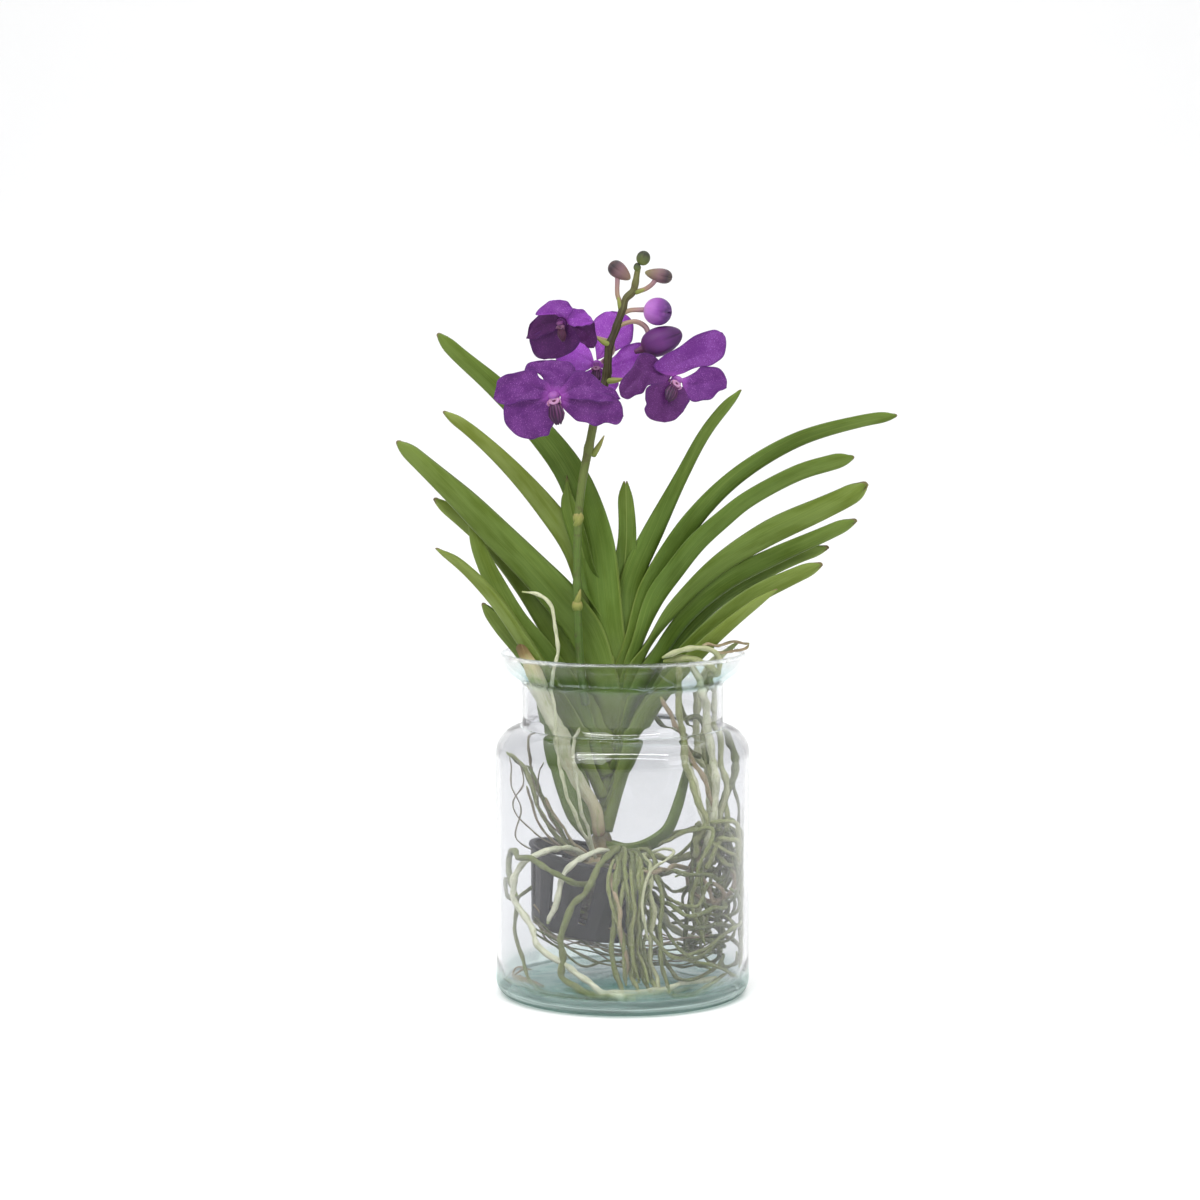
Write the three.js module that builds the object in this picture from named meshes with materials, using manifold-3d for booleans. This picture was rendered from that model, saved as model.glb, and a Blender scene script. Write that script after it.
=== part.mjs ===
// A vanda orchid in bloom, standing in a clear glass vase with its roots hanging free.
// Millimetres, +Z up. The origin is the centre of the vase's flat underside; -Y is the front.
import * as THREE from "three";
import { mergeVertices } from "three/addons/utils/BufferGeometryUtils.js";
import Module from "manifold-3d";

const wasm = await Module();
wasm.setup();
const { Manifold, Mesh: ManifoldMesh } = wasm;

// ---------------------------------------------------------------- driving dimensions
const CLEARANCE = 0.35; // gap kept where one piece is cut to make room for another
const GLASS = 3.5; // wall of the vase
const BODY_RADIUS = 92.5;
const NECK_RADIUS = 73;
const RIM_RADIUS = 90;
const VASE_HEIGHT = 250;
const SHOULDER_HEIGHT = 176; // top of the vase's straight wall
const BASE_THICKNESS = 9;
const BASE_DOME = 16; // height of the rise in the middle of the vase's floor

const BASKET_TOP_RADIUS = 47;
const BASKET_BOTTOM_RADIUS = 35;
const BASKET_HEIGHT = 57;
const BASKET_WALL = 1.6;
const BASKET_SLOTS = 10;
const BASKET_MOUTH = new THREE.Vector3(-20, 0, 101);
const BASKET_TILT = THREE.MathUtils.degToRad(12);

const STEM_BASE = new THREE.Vector3(-17, 0, 101);
const STEM_TOP = new THREE.Vector3(-2, 0, 246);
const STEM_RADIUS = 4.4;
const STEM_TIP_RADIUS = 4.1;

const BLADE_THICKNESS = 1.3;
const PETAL_THICKNESS = 0.9;
const SEED = 7;

// ---------------------------------------------------------------- colours and finishes
const finish = (color, roughness, extra = {}) =>
  new THREE.MeshStandardMaterial({ color, roughness, metalness: 0, side: THREE.DoubleSide, ...extra });
const glassFinish = finish(0xcfe0da, 0.05, { transparent: true, opacity: 0.25 });
const basketFinish = finish(0x3a3640, 0.5);
const leafFinish = finish(0x63803a, 0.45);
const stemFinish = finish(0x7c8a4c, 0.6);
const stumpFinish = finish(0xb8aa88, 0.75);
const rootFinish = finish(0x9ca077, 0.7);
const spikeFinish = finish(0x6e8045, 0.55);
const petalFinish = finish(0x6b2f85, 0.55);
const lipFinish = finish(0x4d1a4c, 0.5);
const budFinish = finish(0x7d4a8c, 0.5);
const youngBudFinish = finish(0x93806f, 0.5);

// ---------------------------------------------------------------- helpers: meshes and solids
const vec = (p) => new THREE.Vector3(p[0], p[1], p[2]);
const lerp = THREE.MathUtils.lerp;
const smooth = THREE.MathUtils.smoothstep;

// Seeded draws between 0 and 1, the same on every run.
function draws(seed) {
  let state = seed;
  return () => {
    state = (state * 1664525 + 1013904223) % 4294967296;
    return state / 4294967296;
  };
}

// A closed three.js geometry as a solid that can be joined and cut.
function solidOf(geometry) {
  const bare = new THREE.BufferGeometry();
  bare.setAttribute("position", geometry.getAttribute("position"));
  if (geometry.index) bare.setIndex(geometry.index);
  const merged = mergeVertices(bare, 1e-4);
  const vertProperties = new Float32Array(merged.attributes.position.array);
  const solid = new Manifold(
    new ManifoldMesh({ numProp: 3, vertProperties, triVerts: new Uint32Array(merged.index.array) }),
  );
  return solid.volume() < 0 ? insideOut(vertProperties, merged.index.array) : solid;
}

// The same faces wound the other way.
function insideOut(vertProperties, index) {
  const triVerts = new Uint32Array(index);
  for (let i = 0; i < triVerts.length; i += 3) {
    const first = triVerts[i];
    triVerts[i] = triVerts[i + 1];
    triVerts[i + 1] = first;
  }
  return new Manifold(new ManifoldMesh({ numProp: 3, vertProperties, triVerts }));
}

// A solid as the geometry of a three.js mesh.
function geometryOf(solid) {
  const mesh = solid.getMesh();
  const geometry = new THREE.BufferGeometry();
  geometry.setAttribute("position", new THREE.BufferAttribute(new Float32Array(mesh.vertProperties), 3));
  geometry.setIndex(new THREE.BufferAttribute(new Uint32Array(mesh.triVerts), 1));
  return geometry.toNonIndexed();
}

const join = (solids) => solids.reduce((all, solid) => all.add(solid));

// The largest body of a solid: loose scraps left by a cut fall away.
function largest(solid) {
  const bodies = solid.decompose();
  return bodies.reduce((best, body) => (body.volume() > best.volume() ? body : best));
}

// A solid cut clear of others, each given already grown by the clearance.
const clearOf = (solid, grown) => largest(grown.reduce((rest, other) => rest.subtract(other), solid));

// Closed skin over rings of points: the rings are joined in order and both ends are fanned shut.
function skinOverRings(rings) {
  const sides = rings[0].length;
  const points = rings.flat();
  const faces = [];
  for (let r = 0; r + 1 < rings.length; r++)
    for (let s = 0; s < sides; s++) {
      const a = r * sides + s;
      const b = r * sides + ((s + 1) % sides);
      faces.push(a, b, a + sides, b, b + sides, a + sides);
    }
  for (const [ring, start] of [[rings[0], 0], [rings[rings.length - 1], (rings.length - 1) * sides]]) {
    const middle = ring.reduce((sum, p) => sum.add(p), new THREE.Vector3()).divideScalar(sides);
    points.push(middle);
    const hub = points.length - 1;
    for (let s = 0; s < sides; s++) {
      const a = start + s;
      const b = start + ((s + 1) % sides);
      faces.push(...(start === 0 ? [b, a, hub] : [a, b, hub]));
    }
  }
  return indexed(points, faces);
}

function indexed(points, faces) {
  const geometry = new THREE.BufferGeometry();
  geometry.setAttribute("position", new THREE.Float32BufferAttribute(points.flatMap((p) => p.toArray()), 3));
  geometry.setIndex(faces);
  return geometry;
}

// A round rod along a curve through the given points, its radius given by radiusAt(0..1).
function rod(path, radiusAt, sides, steps) {
  const curve = new THREE.CatmullRomCurve3(path, false, "centripetal");
  const frames = curve.computeFrenetFrames(steps, false);
  const rings = [];
  for (let i = 0; i <= steps; i++) {
    const middle = curve.getPointAt(i / steps);
    const radius = radiusAt(i / steps);
    rings.push(
      Array.from({ length: sides }, (_, s) => {
        const turn = (2 * Math.PI * s) / sides;
        return middle
          .clone()
          .addScaledVector(frames.normals[i], radius * Math.cos(turn))
          .addScaledVector(frames.binormals[i], radius * Math.sin(turn));
      }),
    );
  }
  return solidOf(skinOverRings(rings));
}

// A thin closed blade: rows of points on its middle surface, given an even thickness.
function blade(rows, thickness) {
  const height = rows.length;
  const width = rows[0].length;
  const clampRow = (i) => Math.min(Math.max(i, 0), height - 1);
  const clampColumn = (j) => Math.min(Math.max(j, 0), width - 1);
  const points = [[], []];
  for (let i = 0; i < height; i++)
    for (let j = 0; j < width; j++) {
      const along = rows[clampRow(i + 1)][j].clone().sub(rows[clampRow(i - 1)][j]);
      const across = rows[i][clampColumn(j + 1)].clone().sub(rows[i][clampColumn(j - 1)]);
      const normal = across.cross(along).normalize();
      points[0].push(rows[i][j].clone().addScaledVector(normal, thickness / 2));
      points[1].push(rows[i][j].clone().addScaledVector(normal, -thickness / 2));
    }
  const count = height * width;
  const faces = [];
  for (let i = 0; i + 1 < height; i++)
    for (let j = 0; j + 1 < width; j++) {
      const a = i * width + j;
      const b = a + 1;
      const c = a + width;
      const d = c + 1;
      faces.push(a, b, d, a, d, c);
      faces.push(count + b, count + a, count + d, count + d, count + a, count + c);
    }
  const border = [];
  for (let j = 0; j < width; j++) border.push(j);
  for (let i = 1; i < height; i++) border.push(i * width + width - 1);
  for (let j = width - 2; j >= 0; j--) border.push((height - 1) * width + j);
  for (let i = height - 2; i > 0; i--) border.push(i * width);
  border.forEach((a, k) => {
    const b = border[(k + 1) % border.length];
    faces.push(b, a, count + a, b, count + a, count + b);
  });
  return solidOf(indexed([...points[0], ...points[1]], faces));
}

// A body turned about +Z from [radius, height] pairs.
const turned = (profile, sides) =>
  new THREE.LatheGeometry(profile.map((p) => new THREE.Vector2(...p)), sides).rotateX(Math.PI / 2);

const group = new THREE.Group();
function addPiece(name, solid, material) {
  const mesh = new THREE.Mesh(geometryOf(solid), material);
  mesh.name = name;
  group.add(mesh);
}

// ---------------------------------------------------------------- vase
// One blown glass wall: flat underside, thick floor that rises in the middle, straight body,
// rounded shoulder, a short neck and a flared lip.
function vase() {
  const profile = new THREE.Path();
  profile.moveTo(0, 0);
  profile.lineTo(84, 0);
  profile.quadraticCurveTo(91.5, 2, BODY_RADIUS, 10);
  profile.lineTo(BODY_RADIUS, SHOULDER_HEIGHT);
  profile.bezierCurveTo(BODY_RADIUS, 187, 84, 196, NECK_RADIUS, 196);
  profile.lineTo(NECK_RADIUS, 226);
  profile.bezierCurveTo(75, 231, 84, 230, 87.5, 247);
  profile.quadraticCurveTo(RIM_RADIUS, VASE_HEIGHT, RIM_RADIUS - 2.5, VASE_HEIGHT);
  profile.bezierCurveTo(81, 234, 72, 236, NECK_RADIUS - GLASS, 227);
  profile.lineTo(NECK_RADIUS - GLASS, 193);
  profile.bezierCurveTo(80, 193, BODY_RADIUS - GLASS, 184, BODY_RADIUS - GLASS, SHOULDER_HEIGHT - 2);
  profile.lineTo(BODY_RADIUS - GLASS, 16);
  profile.quadraticCurveTo(87, BASE_THICKNESS, 78, BASE_THICKNESS);
  profile.bezierCurveTo(50, BASE_THICKNESS, 40, BASE_DOME, 0, BASE_DOME);
  return solidOf(turned(profile.getPoints(3).map((p) => [Math.max(p.x, 0), p.y]), 36));
}

// ---------------------------------------------------------------- basket
// A slotted plastic net pot, in its own frame with the bottom at z = 0.
function plainBasket() {
  const lip = 2.4;
  const inner = BASKET_TOP_RADIUS - BASKET_WALL;
  const profile = [
    [0, 0],
    [BASKET_BOTTOM_RADIUS, 0],
    [BASKET_TOP_RADIUS, BASKET_HEIGHT - lip],
    [BASKET_TOP_RADIUS + 2.2, BASKET_HEIGHT - lip],
    [BASKET_TOP_RADIUS + 2.2, BASKET_HEIGHT],
    [inner, BASKET_HEIGHT],
    [BASKET_BOTTOM_RADIUS - BASKET_WALL, BASKET_WALL],
    [0, BASKET_WALL],
  ];
  let pot = solidOf(turned(profile, 20));
  const slot = new THREE.BoxGeometry(24, 8.5, 34);
  for (let i = 0; i < BASKET_SLOTS; i++) {
    const turn = (2 * Math.PI * (i + 0.5)) / BASKET_SLOTS;
    const opening = slot.clone().translate(BASKET_BOTTOM_RADIUS + 6, 0, 28).rotateZ(turn);
    pot = pot.subtract(solidOf(opening));
  }
  return pot;
}

const basketPlace = new THREE.Matrix4()
  .makeTranslation(BASKET_MOUTH.x, BASKET_MOUTH.y, BASKET_MOUTH.z)
  .multiply(new THREE.Matrix4().makeRotationY(BASKET_TILT))
  .multiply(new THREE.Matrix4().makeTranslation(0, 0, -BASKET_HEIGHT));
const placedBasket = () => solidOf(geometryOf(plainBasket()).applyMatrix4(basketPlace));

// ---------------------------------------------------------------- leafy stem
const stem = (grow = 0) =>
  rod(
    [STEM_BASE, STEM_BASE.clone().lerp(STEM_TOP, 0.5), STEM_TOP],
    (t) => lerp(STEM_RADIUS, STEM_TIP_RADIUS, t) + grow,
    8,
    6,
  );
const stemAt = (z) => STEM_BASE.clone().lerp(STEM_TOP, (z - STEM_BASE.z) / (STEM_TOP.z - STEM_BASE.z));

// Each leaf is a strap folded along its keel: it clasps the stem at its foot, then opens to a
// channel that widens towards the tip. keel lists points on the underside of the fold.
// fold gives the half angle between the two wings, in degrees, at the foot, middle and tip;
// roll turns the free blade about its keel, front wing down.
const LEAVES = [
  { name: "leaf_centre", side: -1, width: 6.6, fold: [10, 62, 76], roll: 78, notch: 0.3,
    keel: [[-7.6, 0, 241], [-1.5, 3, 290], [2.5, 3, 330], [2, 2, 374]] },
  { name: "leaf_left_8", side: -1, width: 9, fold: [10, 20, 30], roll: 0, notch: 0.5,
    keel: [[-8.5, 0, 240], [-17, -12, 275], [-30, -21, 325], [-39, -22, 358], [-41, -22, 377]] },
  { name: "leaf_right_1", side: 1, width: 18, fold: [6, 34, 52], roll: 4, notch: 1,
    keel: [[1.5, 0, 232], [7, 0, 262], [14, 5, 300], [29, 9, 335], [48, 11, 378], [64, 12, 408], [88, 12, 439]] },
  { name: "leaf_left_1", side: -1, width: 25, fold: [5, 27, 54], roll: 8, notch: 1,
    keel: [[-10.5, 0, 222], [-19, 0, 252], [-28, 2, 305], [-45, 5, 370], [-69, 7, 406], [-97, 8, 437],
      [-126, 8, 465], [-137, 8, 478]] },
  { name: "leaf_right_2", side: 1, width: 23, fold: [5, 44, 66], roll: 6, notch: 1,
    keel: [[0.5, 0, 214], [8, 0, 245], [19, 1, 276], [33, 2, 305], [57, 3, 341], [86, 4, 369], [128, 5, 394],
      [172, 5, 410], [199, 5, 418]] },
  { name: "leaf_left_2", side: -1, width: 19, fold: [5, 32, 56], roll: 5, notch: 1,
    keel: [[-12, 0, 206], [-22, 1, 248], [-31, 4, 286], [-42, 7, 320], [-61, 9, 349], [-86, 10, 380],
      [-111, 10, 405], [-132, 10, 422]] },
  { name: "leaf_right_3", side: 1, width: 21, fold: [5, 38, 50], roll: 6, notch: 1,
    keel: [[-0.5, 0, 198], [7, 0, 230], [15, -1, 258], [28, -2, 285], [43, -3, 306], [58, -3, 323],
      [76, -4, 338], [93, -4, 350], [128, -5, 370], [150, -5, 379], [168, -5, 387]] },
  { name: "leaf_left_3", side: -1, width: 23, fold: [5, 42, 46], roll: 14, notch: 1,
    keel: [[-13.5, 0, 190], [-25, -1, 228], [-36, -3, 258], [-52, -4, 284], [-80, -5, 308], [-103, -6, 334],
      [-126, -6, 359], [-154, -6, 388], [-166, -6, 400]] },
  { name: "leaf_right_4", side: 1, width: 22, fold: [5, 58, 42], roll: 10, notch: 1,
    keel: [[-1.5, 0, 182], [8, 0, 220], [19, 1, 252], [42, 2, 280], [71, 3, 306], [107, 4, 327], [148, 4, 347],
      [170, 4, 359], [181, 4, 368]] },
  { name: "leaf_left_4", side: -1, width: 17, fold: [5, 34, 50], roll: 8, notch: 1,
    keel: [[-15, 0, 174], [-29, 2, 208], [-43, 6, 236], [-60, 10, 264], [-77, 14, 292], [-98, 16, 320],
      [-119, 17, 340], [-140, 17, 358]] },
  { name: "leaf_right_5", side: 1, width: 20, fold: [5, 40, 50], roll: 8, notch: 1,
    keel: [[-2.5, 0, 166], [6, 0, 196], [16, 2, 222], [32, 5, 248], [50, 7, 272], [78, 8, 295], [114, 9, 314],
      [150, 9, 331], [172, 9, 342]] },
  { name: "leaf_left_5", side: -1, width: 15, fold: [5, 34, 46], roll: 8, notch: 1,
    keel: [[-16.5, 0, 158], [-30, 0, 190], [-45, 0, 218], [-64, 0, 246], [-85, 0, 271], [-100, 0, 300],
      [-110, 0, 328], [-113, 0, 348]] },
  { name: "leaf_right_6", side: 1, width: 18, fold: [5, 40, 50], roll: 8, notch: 1,
    keel: [[-3.5, 0, 150], [5, 1, 182], [19, 6, 212], [40, 12, 248], [70, 16, 280], [100, 18, 299],
      [128, 18, 313], [152, 18, 322]] },
  { name: "leaf_left_6", side: -1, width: 13, fold: [5, 56, 76], roll: 0, notch: 0.8,
    keel: [[-18, 0, 142], [-31, -3, 174], [-45, -8, 204], [-60, -14, 232], [-79, -20, 263], [-97, -22, 289],
      [-118, -23, 312], [-136, -23, 326]] },
  { name: "leaf_right_7", side: 1, width: 17, fold: [5, 40, 50], roll: 8, notch: 1,
    keel: [[-5, 0, 134], [4, 0, 164], [15, 0, 192], [30, -2, 217], [50, -4, 245], [72, -6, 266], [100, -7, 287],
      [122, -8, 299], [146, -8, 311]] },
  { name: "leaf_left_7", side: -1, width: 21, fold: [12, 30, 50], roll: 0, notch: 0.8,
    keel: [[-27, 2, 112], [-39, 3, 126], [-47, 3, 146], [-53, 4, 168], [-58, 4, 190], [-62, 5, 207],
      [-64.5, 5, 224], [-76, 5, 244], [-92, 5, 264], [-105, 5, 283]] },
  { name: "leaf_right_8", side: 1, width: 15, fold: [5, 34, 50], roll: 4, notch: 1,
    keel: [[-8, 0, 118], [0, -1, 148], [9, -4, 176], [20, -9, 198], [35, -15, 222], [56, -20, 246],
      [77, -22, 267], [96, -24, 284], [112, -25, 297]] },
  { name: "leaf_old", side: 1, width: 10, fold: [8, 34, 44], roll: 0, notch: 0.6,
    keel: [[-11.5, 0, 106], [4, -6, 103], [20, -14, 107], [34, -20, 119], [42, -22, 138], [47, -23, 160],
      [51, -24, 184]] },
];
const LEAF_ROWS = 8;
const LEAF_COLUMNS = [-1, -0.42, 0, 0.42, 1];
const SHEATH_RADIUS = 5.5; // the fold's radius where it first clasps the stem
const SHEATH_GROWTH = 0.17; // how much wider it gets for each millimetre up, over younger sheaths
const KEEL_RADIUS = 2.2; // the fold's radius in the free blade

// The free end is cut short and unevenly: a notch at the keel between two unequal lobes.
function tipShape(column, notch) {
  const lobe = column > 0 ? 0 : -2.5;
  const corner = -7 * Math.abs(column) ** 3;
  return notch * (Math.abs(column) < 0.1 ? -3.5 : lobe + corner);
}

function leaf({ side, keel, width, fold, roll, notch }, grow = 0) {
  const curve = new THREE.CatmullRomCurve3(keel.map(vec), false, "centripetal");
  const length = curve.getLength();
  const rows = [];
  for (let i = 0; i <= LEAF_ROWS; i++) {
    const t = i / LEAF_ROWS;
    const at = curve.getPointAt(t);
    const along = curve.getTangentAt(t);
    const across = new THREE.Vector3(0, 1, 0).addScaledVector(along, -along.y).normalize();
    const inward = across.clone().cross(along).multiplyScalar(-side);
    const fromStem = Math.abs(at.x - stemAt(at.z).x);
    const free = smooth(fromStem, 9, 30);
    const clasp = SHEATH_RADIUS + SHEATH_GROWTH * Math.max(at.z - keel[0][2], 0);
    const radius = lerp(clasp, KEEL_RADIUS, free);
    const half = t < 0.5 ? lerp(fold[0], fold[1], smooth(t, 0.1, 0.5)) : lerp(fold[1], fold[2], 2 * t - 1);
    const angle = THREE.MathUtils.degToRad(half);
    const wing = width * lerp(0.62, 1, smooth(t, 0, 0.3)) * lerp(1, 0.62, smooth(t, 0.55, 1)) + grow;
    const bend = radius * (Math.PI / 2 - angle);
    const twist = THREE.MathUtils.degToRad(roll * smooth(t, 0.15, 0.55));
    const endStretch = i === 0 ? -grow : i === LEAF_ROWS ? grow : 0;
    rows.push(
      LEAF_COLUMNS.map((column) => {
        const reach = Math.abs(column) * wing;
        const turned = Math.min(reach, bend) / radius;
        const past = Math.max(reach - bend, 0);
        const outwards = Math.sign(column) * (radius * Math.sin(turned) + past * Math.sin(angle));
        const upwards = radius * (1 - Math.cos(turned)) + past * Math.cos(angle);
        const shift = tipShape(column, notch) * smooth(t, 1 - 12 / length, 1) + endStretch;
        return at
          .clone()
          .addScaledVector(across, outwards * Math.cos(twist) - upwards * Math.sin(twist))
          .addScaledVector(inward, outwards * Math.sin(twist) + upwards * Math.cos(twist))
          .addScaledVector(along, shift);
      }),
    );
  }
  return blade(rows, BLADE_THICKNESS + 2 * grow);
}

// ---------------------------------------------------------------- flower spike
// The stalk leaves a left leaf's axil, passes in front of the fan and zigzags at the buds.
const STALK = [
  [-27, -15, 214], [-30, -18.5, 236], [-32, -20, 262], [-33, -20, 300], [-32, -19, 349], [-29, -17, 376],
  [-23.5, -15, 404], [-18.5, -12, 430], [-13, -9, 449], [-8, -6, 472], [-3, -4, 488], [3, -2, 503],
  [9.5, -1, 515], [11.5, 0, 524], [12.5, 0, 528],
].map(vec);
const STALK_RADIUS = 3;
const STALK_TIP_RADIUS = 1.5;
const stalk = (grow = 0) =>
  rod(STALK, (t) => lerp(STALK_RADIUS, STALK_TIP_RADIUS, smooth(t, 0.35, 1)) + grow, 6, 18);

// Short pointed scales that hug the stalk at its nodes.
const BRACTS = [
  { at: [-33, -19.5, 285], to: [-31, -23, 300], radius: 2.6 },
  { at: [-32, -19, 345], to: [-31, -24.5, 356], radius: 2.8 },
  { at: [-23.5, -14.5, 392], to: [-15.5, -15, 403], radius: 2.2 },
  { at: [-14, -9.5, 446], to: [1, -13, 448], radius: 2.2 },
];
const bract = ({ at, to, radius }) =>
  rod(
    [vec(at), vec(at).lerp(vec(to), 0.55).add(new THREE.Vector3(0, -0.6, -0.6)), vec(to)],
    (t) => radius * Math.max(Math.cos((t * Math.PI) / 2.3), 0.16),
    5,
    3,
  );

// ---------------------------------------------------------------- flowers
// A flower's own frame: its face looks along +Z, its top sepal points along +Y.
// Each tepal is [degrees round from +X, length, width, forward lean in degrees].
const FLOWERS = [
  { name: "flower_front", centre: [-49, -44, 435.5], facing: [-0.12, -0.98, -0.1], stalkFrom: [-17, -11, 436],
    cup: 0.006,
    tepals: [[126, 32, 27, 6], [166, 41, 27, 4], [40, 38, 28, 8], [224, 33, 34, 2], [347, 45, 33, 2]] },
  { name: "flower_top_left", centre: [-29, -15, 484], facing: [-0.7, -0.66, -0.26], stalkFrom: [-8, -5.5, 474],
    cup: 0.016, lipScale: 0.5, lipRise: 4.6,
    tepals: [[92, 29, 30, 46], [163, 38, 30, 46], [20, 34, 30, 40], [226, 30, 30, 50], [318, 28, 30, 50]] },
  { name: "flower_back", centre: [-19, 15, 457], facing: [-0.12, -0.98, 0.12], stalkFrom: [-9, -5, 471],
    round: [[-7, 8, 470], [-8, 19, 466], [-14, 27, 460]],
    cup: 0.006,
    tepals: [[66, 39, 30, 4], [160, 34, 27, 4], [4, 40, 30, 6], [218, 32, 30, 4], [322, 35, 31, 4]] },
  { name: "flower_right", centre: [38, -8, 446], facing: [0.42, -0.9, 0.08], stalkFrom: [-12, -8, 452],
    round: [[6, -6, 451], [18, -1, 448], [30, 1.5, 446]],
    cup: 0.006,
    tepals: [[37, 53, 25, -4], [357, 41, 26, -2], [128, 28, 26, 10], [246, 28, 33, 6], [186, 28, 30, 4]] },
];
const CLAW_START = 3.2; // each tepal springs from the hub this far from the flower's axis
const TEPAL_ROWS = 5;
const TEPAL_COLUMNS = [-1, -0.4, 0.4, 1];

// Half width of a tepal along its length: a narrow claw, a broad blade and a rounded end.
function tepalOutline(u) {
  const claw = lerp(0.2, 1, smooth(u, 0, 0.58));
  const end = u < 0.66 ? 1 : Math.sqrt(Math.max(1 - ((u - 0.66) / 0.35) ** 2, 0));
  return Math.max(claw * end, 0.12);
}

function tepal([degrees, length, width, lean], cup, phase) {
  const turn = new THREE.Matrix4().makeRotationZ(THREE.MathUtils.degToRad(degrees));
  const rise = THREE.MathUtils.degToRad(lean);
  const rows = [];
  for (let i = 0; i <= TEPAL_ROWS; i++) {
    const u = i / TEPAL_ROWS;
    const reach = u * length;
    rows.push(
      TEPAL_COLUMNS.map((v) => {
        const side = (v * width * tepalOutline(u)) / 2;
        const wave = 1.3 * u * Math.abs(v) * Math.sin(7 * u + 2.4 * v + phase);
        const dish = cup * side * side + wave;
        return new THREE.Vector3(
          CLAW_START + reach * Math.cos(rise) - dish * Math.sin(rise),
          side,
          reach * Math.sin(rise) + dish * Math.cos(rise) - 0.0012 * reach * reach,
        ).applyMatrix4(turn);
      }),
    );
  }
  return blade(rows, PETAL_THICKNESS);
}

// The frame that turns a flower's own axes to where it faces.
function flowerPlace({ centre, facing }) {
  const face = vec(facing).normalize();
  const right = new THREE.Vector3(0, 0, 1).cross(face).normalize();
  const up = face.clone().cross(right);
  return new THREE.Matrix4().makeBasis(right, up, face).setPosition(vec(centre));
}

function flowerTepals(flower) {
  const hub = solidOf(turned([[0, -4], [2.2, -3.6], [4.2, -1], [4.2, 0.8], [0, 1]], 8));
  const tepals = flower.tepals.map((t, i) => tepal(t, flower.cup, 1.7 * i));
  const placed = solidOf(geometryOf(join([hub, ...tepals])).applyMatrix4(flowerPlace(flower)));
  return clearOf(placed, [pedicel(flower, CLEARANCE)]);
}

// The column stands on the flower's face; the ridged lip hangs below it and juts forward.
function flowerLip(flower) {
  const scale = flower.lipScale ?? 1;
  const column = solidOf(turned([[0, 1.5], [3.2, 1.5], [3.3, 6], [2.4, 10], [0, 10]], 6));
  const rows = [0, 0.3, 0.65, 1].map((u) => {
    const halfWidth = [2.6, 4.2, 6.4, 3.4][Math.round(u * 3)];
    return [-1, 0, 1].map(
      (v) => {
        const lift = 3.8 + (flower.lipRise ?? 0) + 8 * u - 5 * u * u - 1.6 * Math.abs(v);
        return new THREE.Vector3(scale * v * halfWidth, -1 - 17 * scale * u, lift);
      },
    );
  });
  const lip = blade(rows, 1.4);
  const placed = solidOf(geometryOf(join([column, lip])).applyMatrix4(flowerPlace(flower)));
  return placed;
}

// The stalk of one flower runs from the spike to just behind the flower's hub.
function pedicel({ centre, facing, stalkFrom, round }, grow = 0) {
  const face = vec(facing).normalize();
  const end = vec(centre).addScaledVector(face, -4.4);
  const start = vec(stalkFrom);
  const bow = end.clone().addScaledVector(face, -9);
  const route = round ? round.map(vec) : [start.clone().lerp(bow, 0.5), bow];
  return rod([start, ...route, end], (t) => lerp(1.4, 1.9, t) + grow, 5, 6);
}

// ---------------------------------------------------------------- buds
// Each bud sits on its own short stalk; axis points from the stalk to the bud's tip.
const BUDS = [
  { name: "bud_large", centre: [28, 0, 475], axis: [0.93, 0, 0.36], length: 31, width: 21, finish: budFinish,
    stalk: [[-5, -4, 484], [3, -3, 487], [10, -2, 487], [16.3, -1, 478.9]] },
  { name: "bud_medium", centre: [25, -2, 495.8], axis: [0.98, 0, -0.1], length: 20.5, width: 20,
    finish: budFinish, stalk: [[-1, -3, 494], [5, -3, 497], [14, -2, 497.2]] },
  { name: "bud_young_left", centre: [-2, 0, 525], axis: [-0.25, 0, 0.97], length: 17, width: 13,
    finish: youngBudFinish, stalk: [[0, -2, 499], [-4, -1, 508], [-0.5, 0, 515.8]] },
  { name: "bud_young_right", centre: [26, 0, 521.5], axis: [0.97, 0, 0.22], length: 17, width: 11,
    finish: youngBudFinish, stalk: [[8, -1, 510], [13.5, 0, 511.5], [17, 0, 518.8]] },
  { name: "bud_top", centre: [14.5, 0, 534], axis: [0.3, 0, 0.95], length: 11, width: 10, finish: youngBudFinish,
    stalk: [] },
];

// An egg with three shallow furrows where its outer sepals meet.
function bud({ centre, axis, length, width }) {
  const rings = [];
  const steps = 6;
  const sides = 9;
  for (let i = 0; i <= steps; i++) {
    const a = Math.PI * (0.04 + (0.92 * i) / steps);
    const radius = (width / 2) * Math.sin(a) * (1 + 0.12 * Math.cos(a) * -1);
    rings.push(
      Array.from({ length: sides }, (_, s) => {
        const turn = (2 * Math.PI * s) / sides;
        const furrow = s % 3 === 0 ? 0.93 : 1;
        return new THREE.Vector3(
          radius * furrow * Math.cos(turn),
          radius * furrow * Math.sin(turn),
          (-length / 2) * Math.cos(a),
        );
      }),
    );
  }
  const turn = new THREE.Quaternion().setFromUnitVectors(new THREE.Vector3(0, 0, 1), vec(axis).normalize());
  const place = new THREE.Matrix4().compose(vec(centre), turn, new THREE.Vector3(1, 1, 1));
  return solidOf(skinOverRings(rings).applyMatrix4(place));
}

const budStalk = ({ stalk: route }) => rod(route.map(vec), (t) => lerp(1.1, 1.5, t), 5, 4);

function spike() {
  const stalks = BUDS.filter((b) => b.stalk.length).map(budStalk);
  return join([stalk(), ...BRACTS.map(bract), ...FLOWERS.map((flower) => pedicel(flower)), ...stalks]);
}

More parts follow.
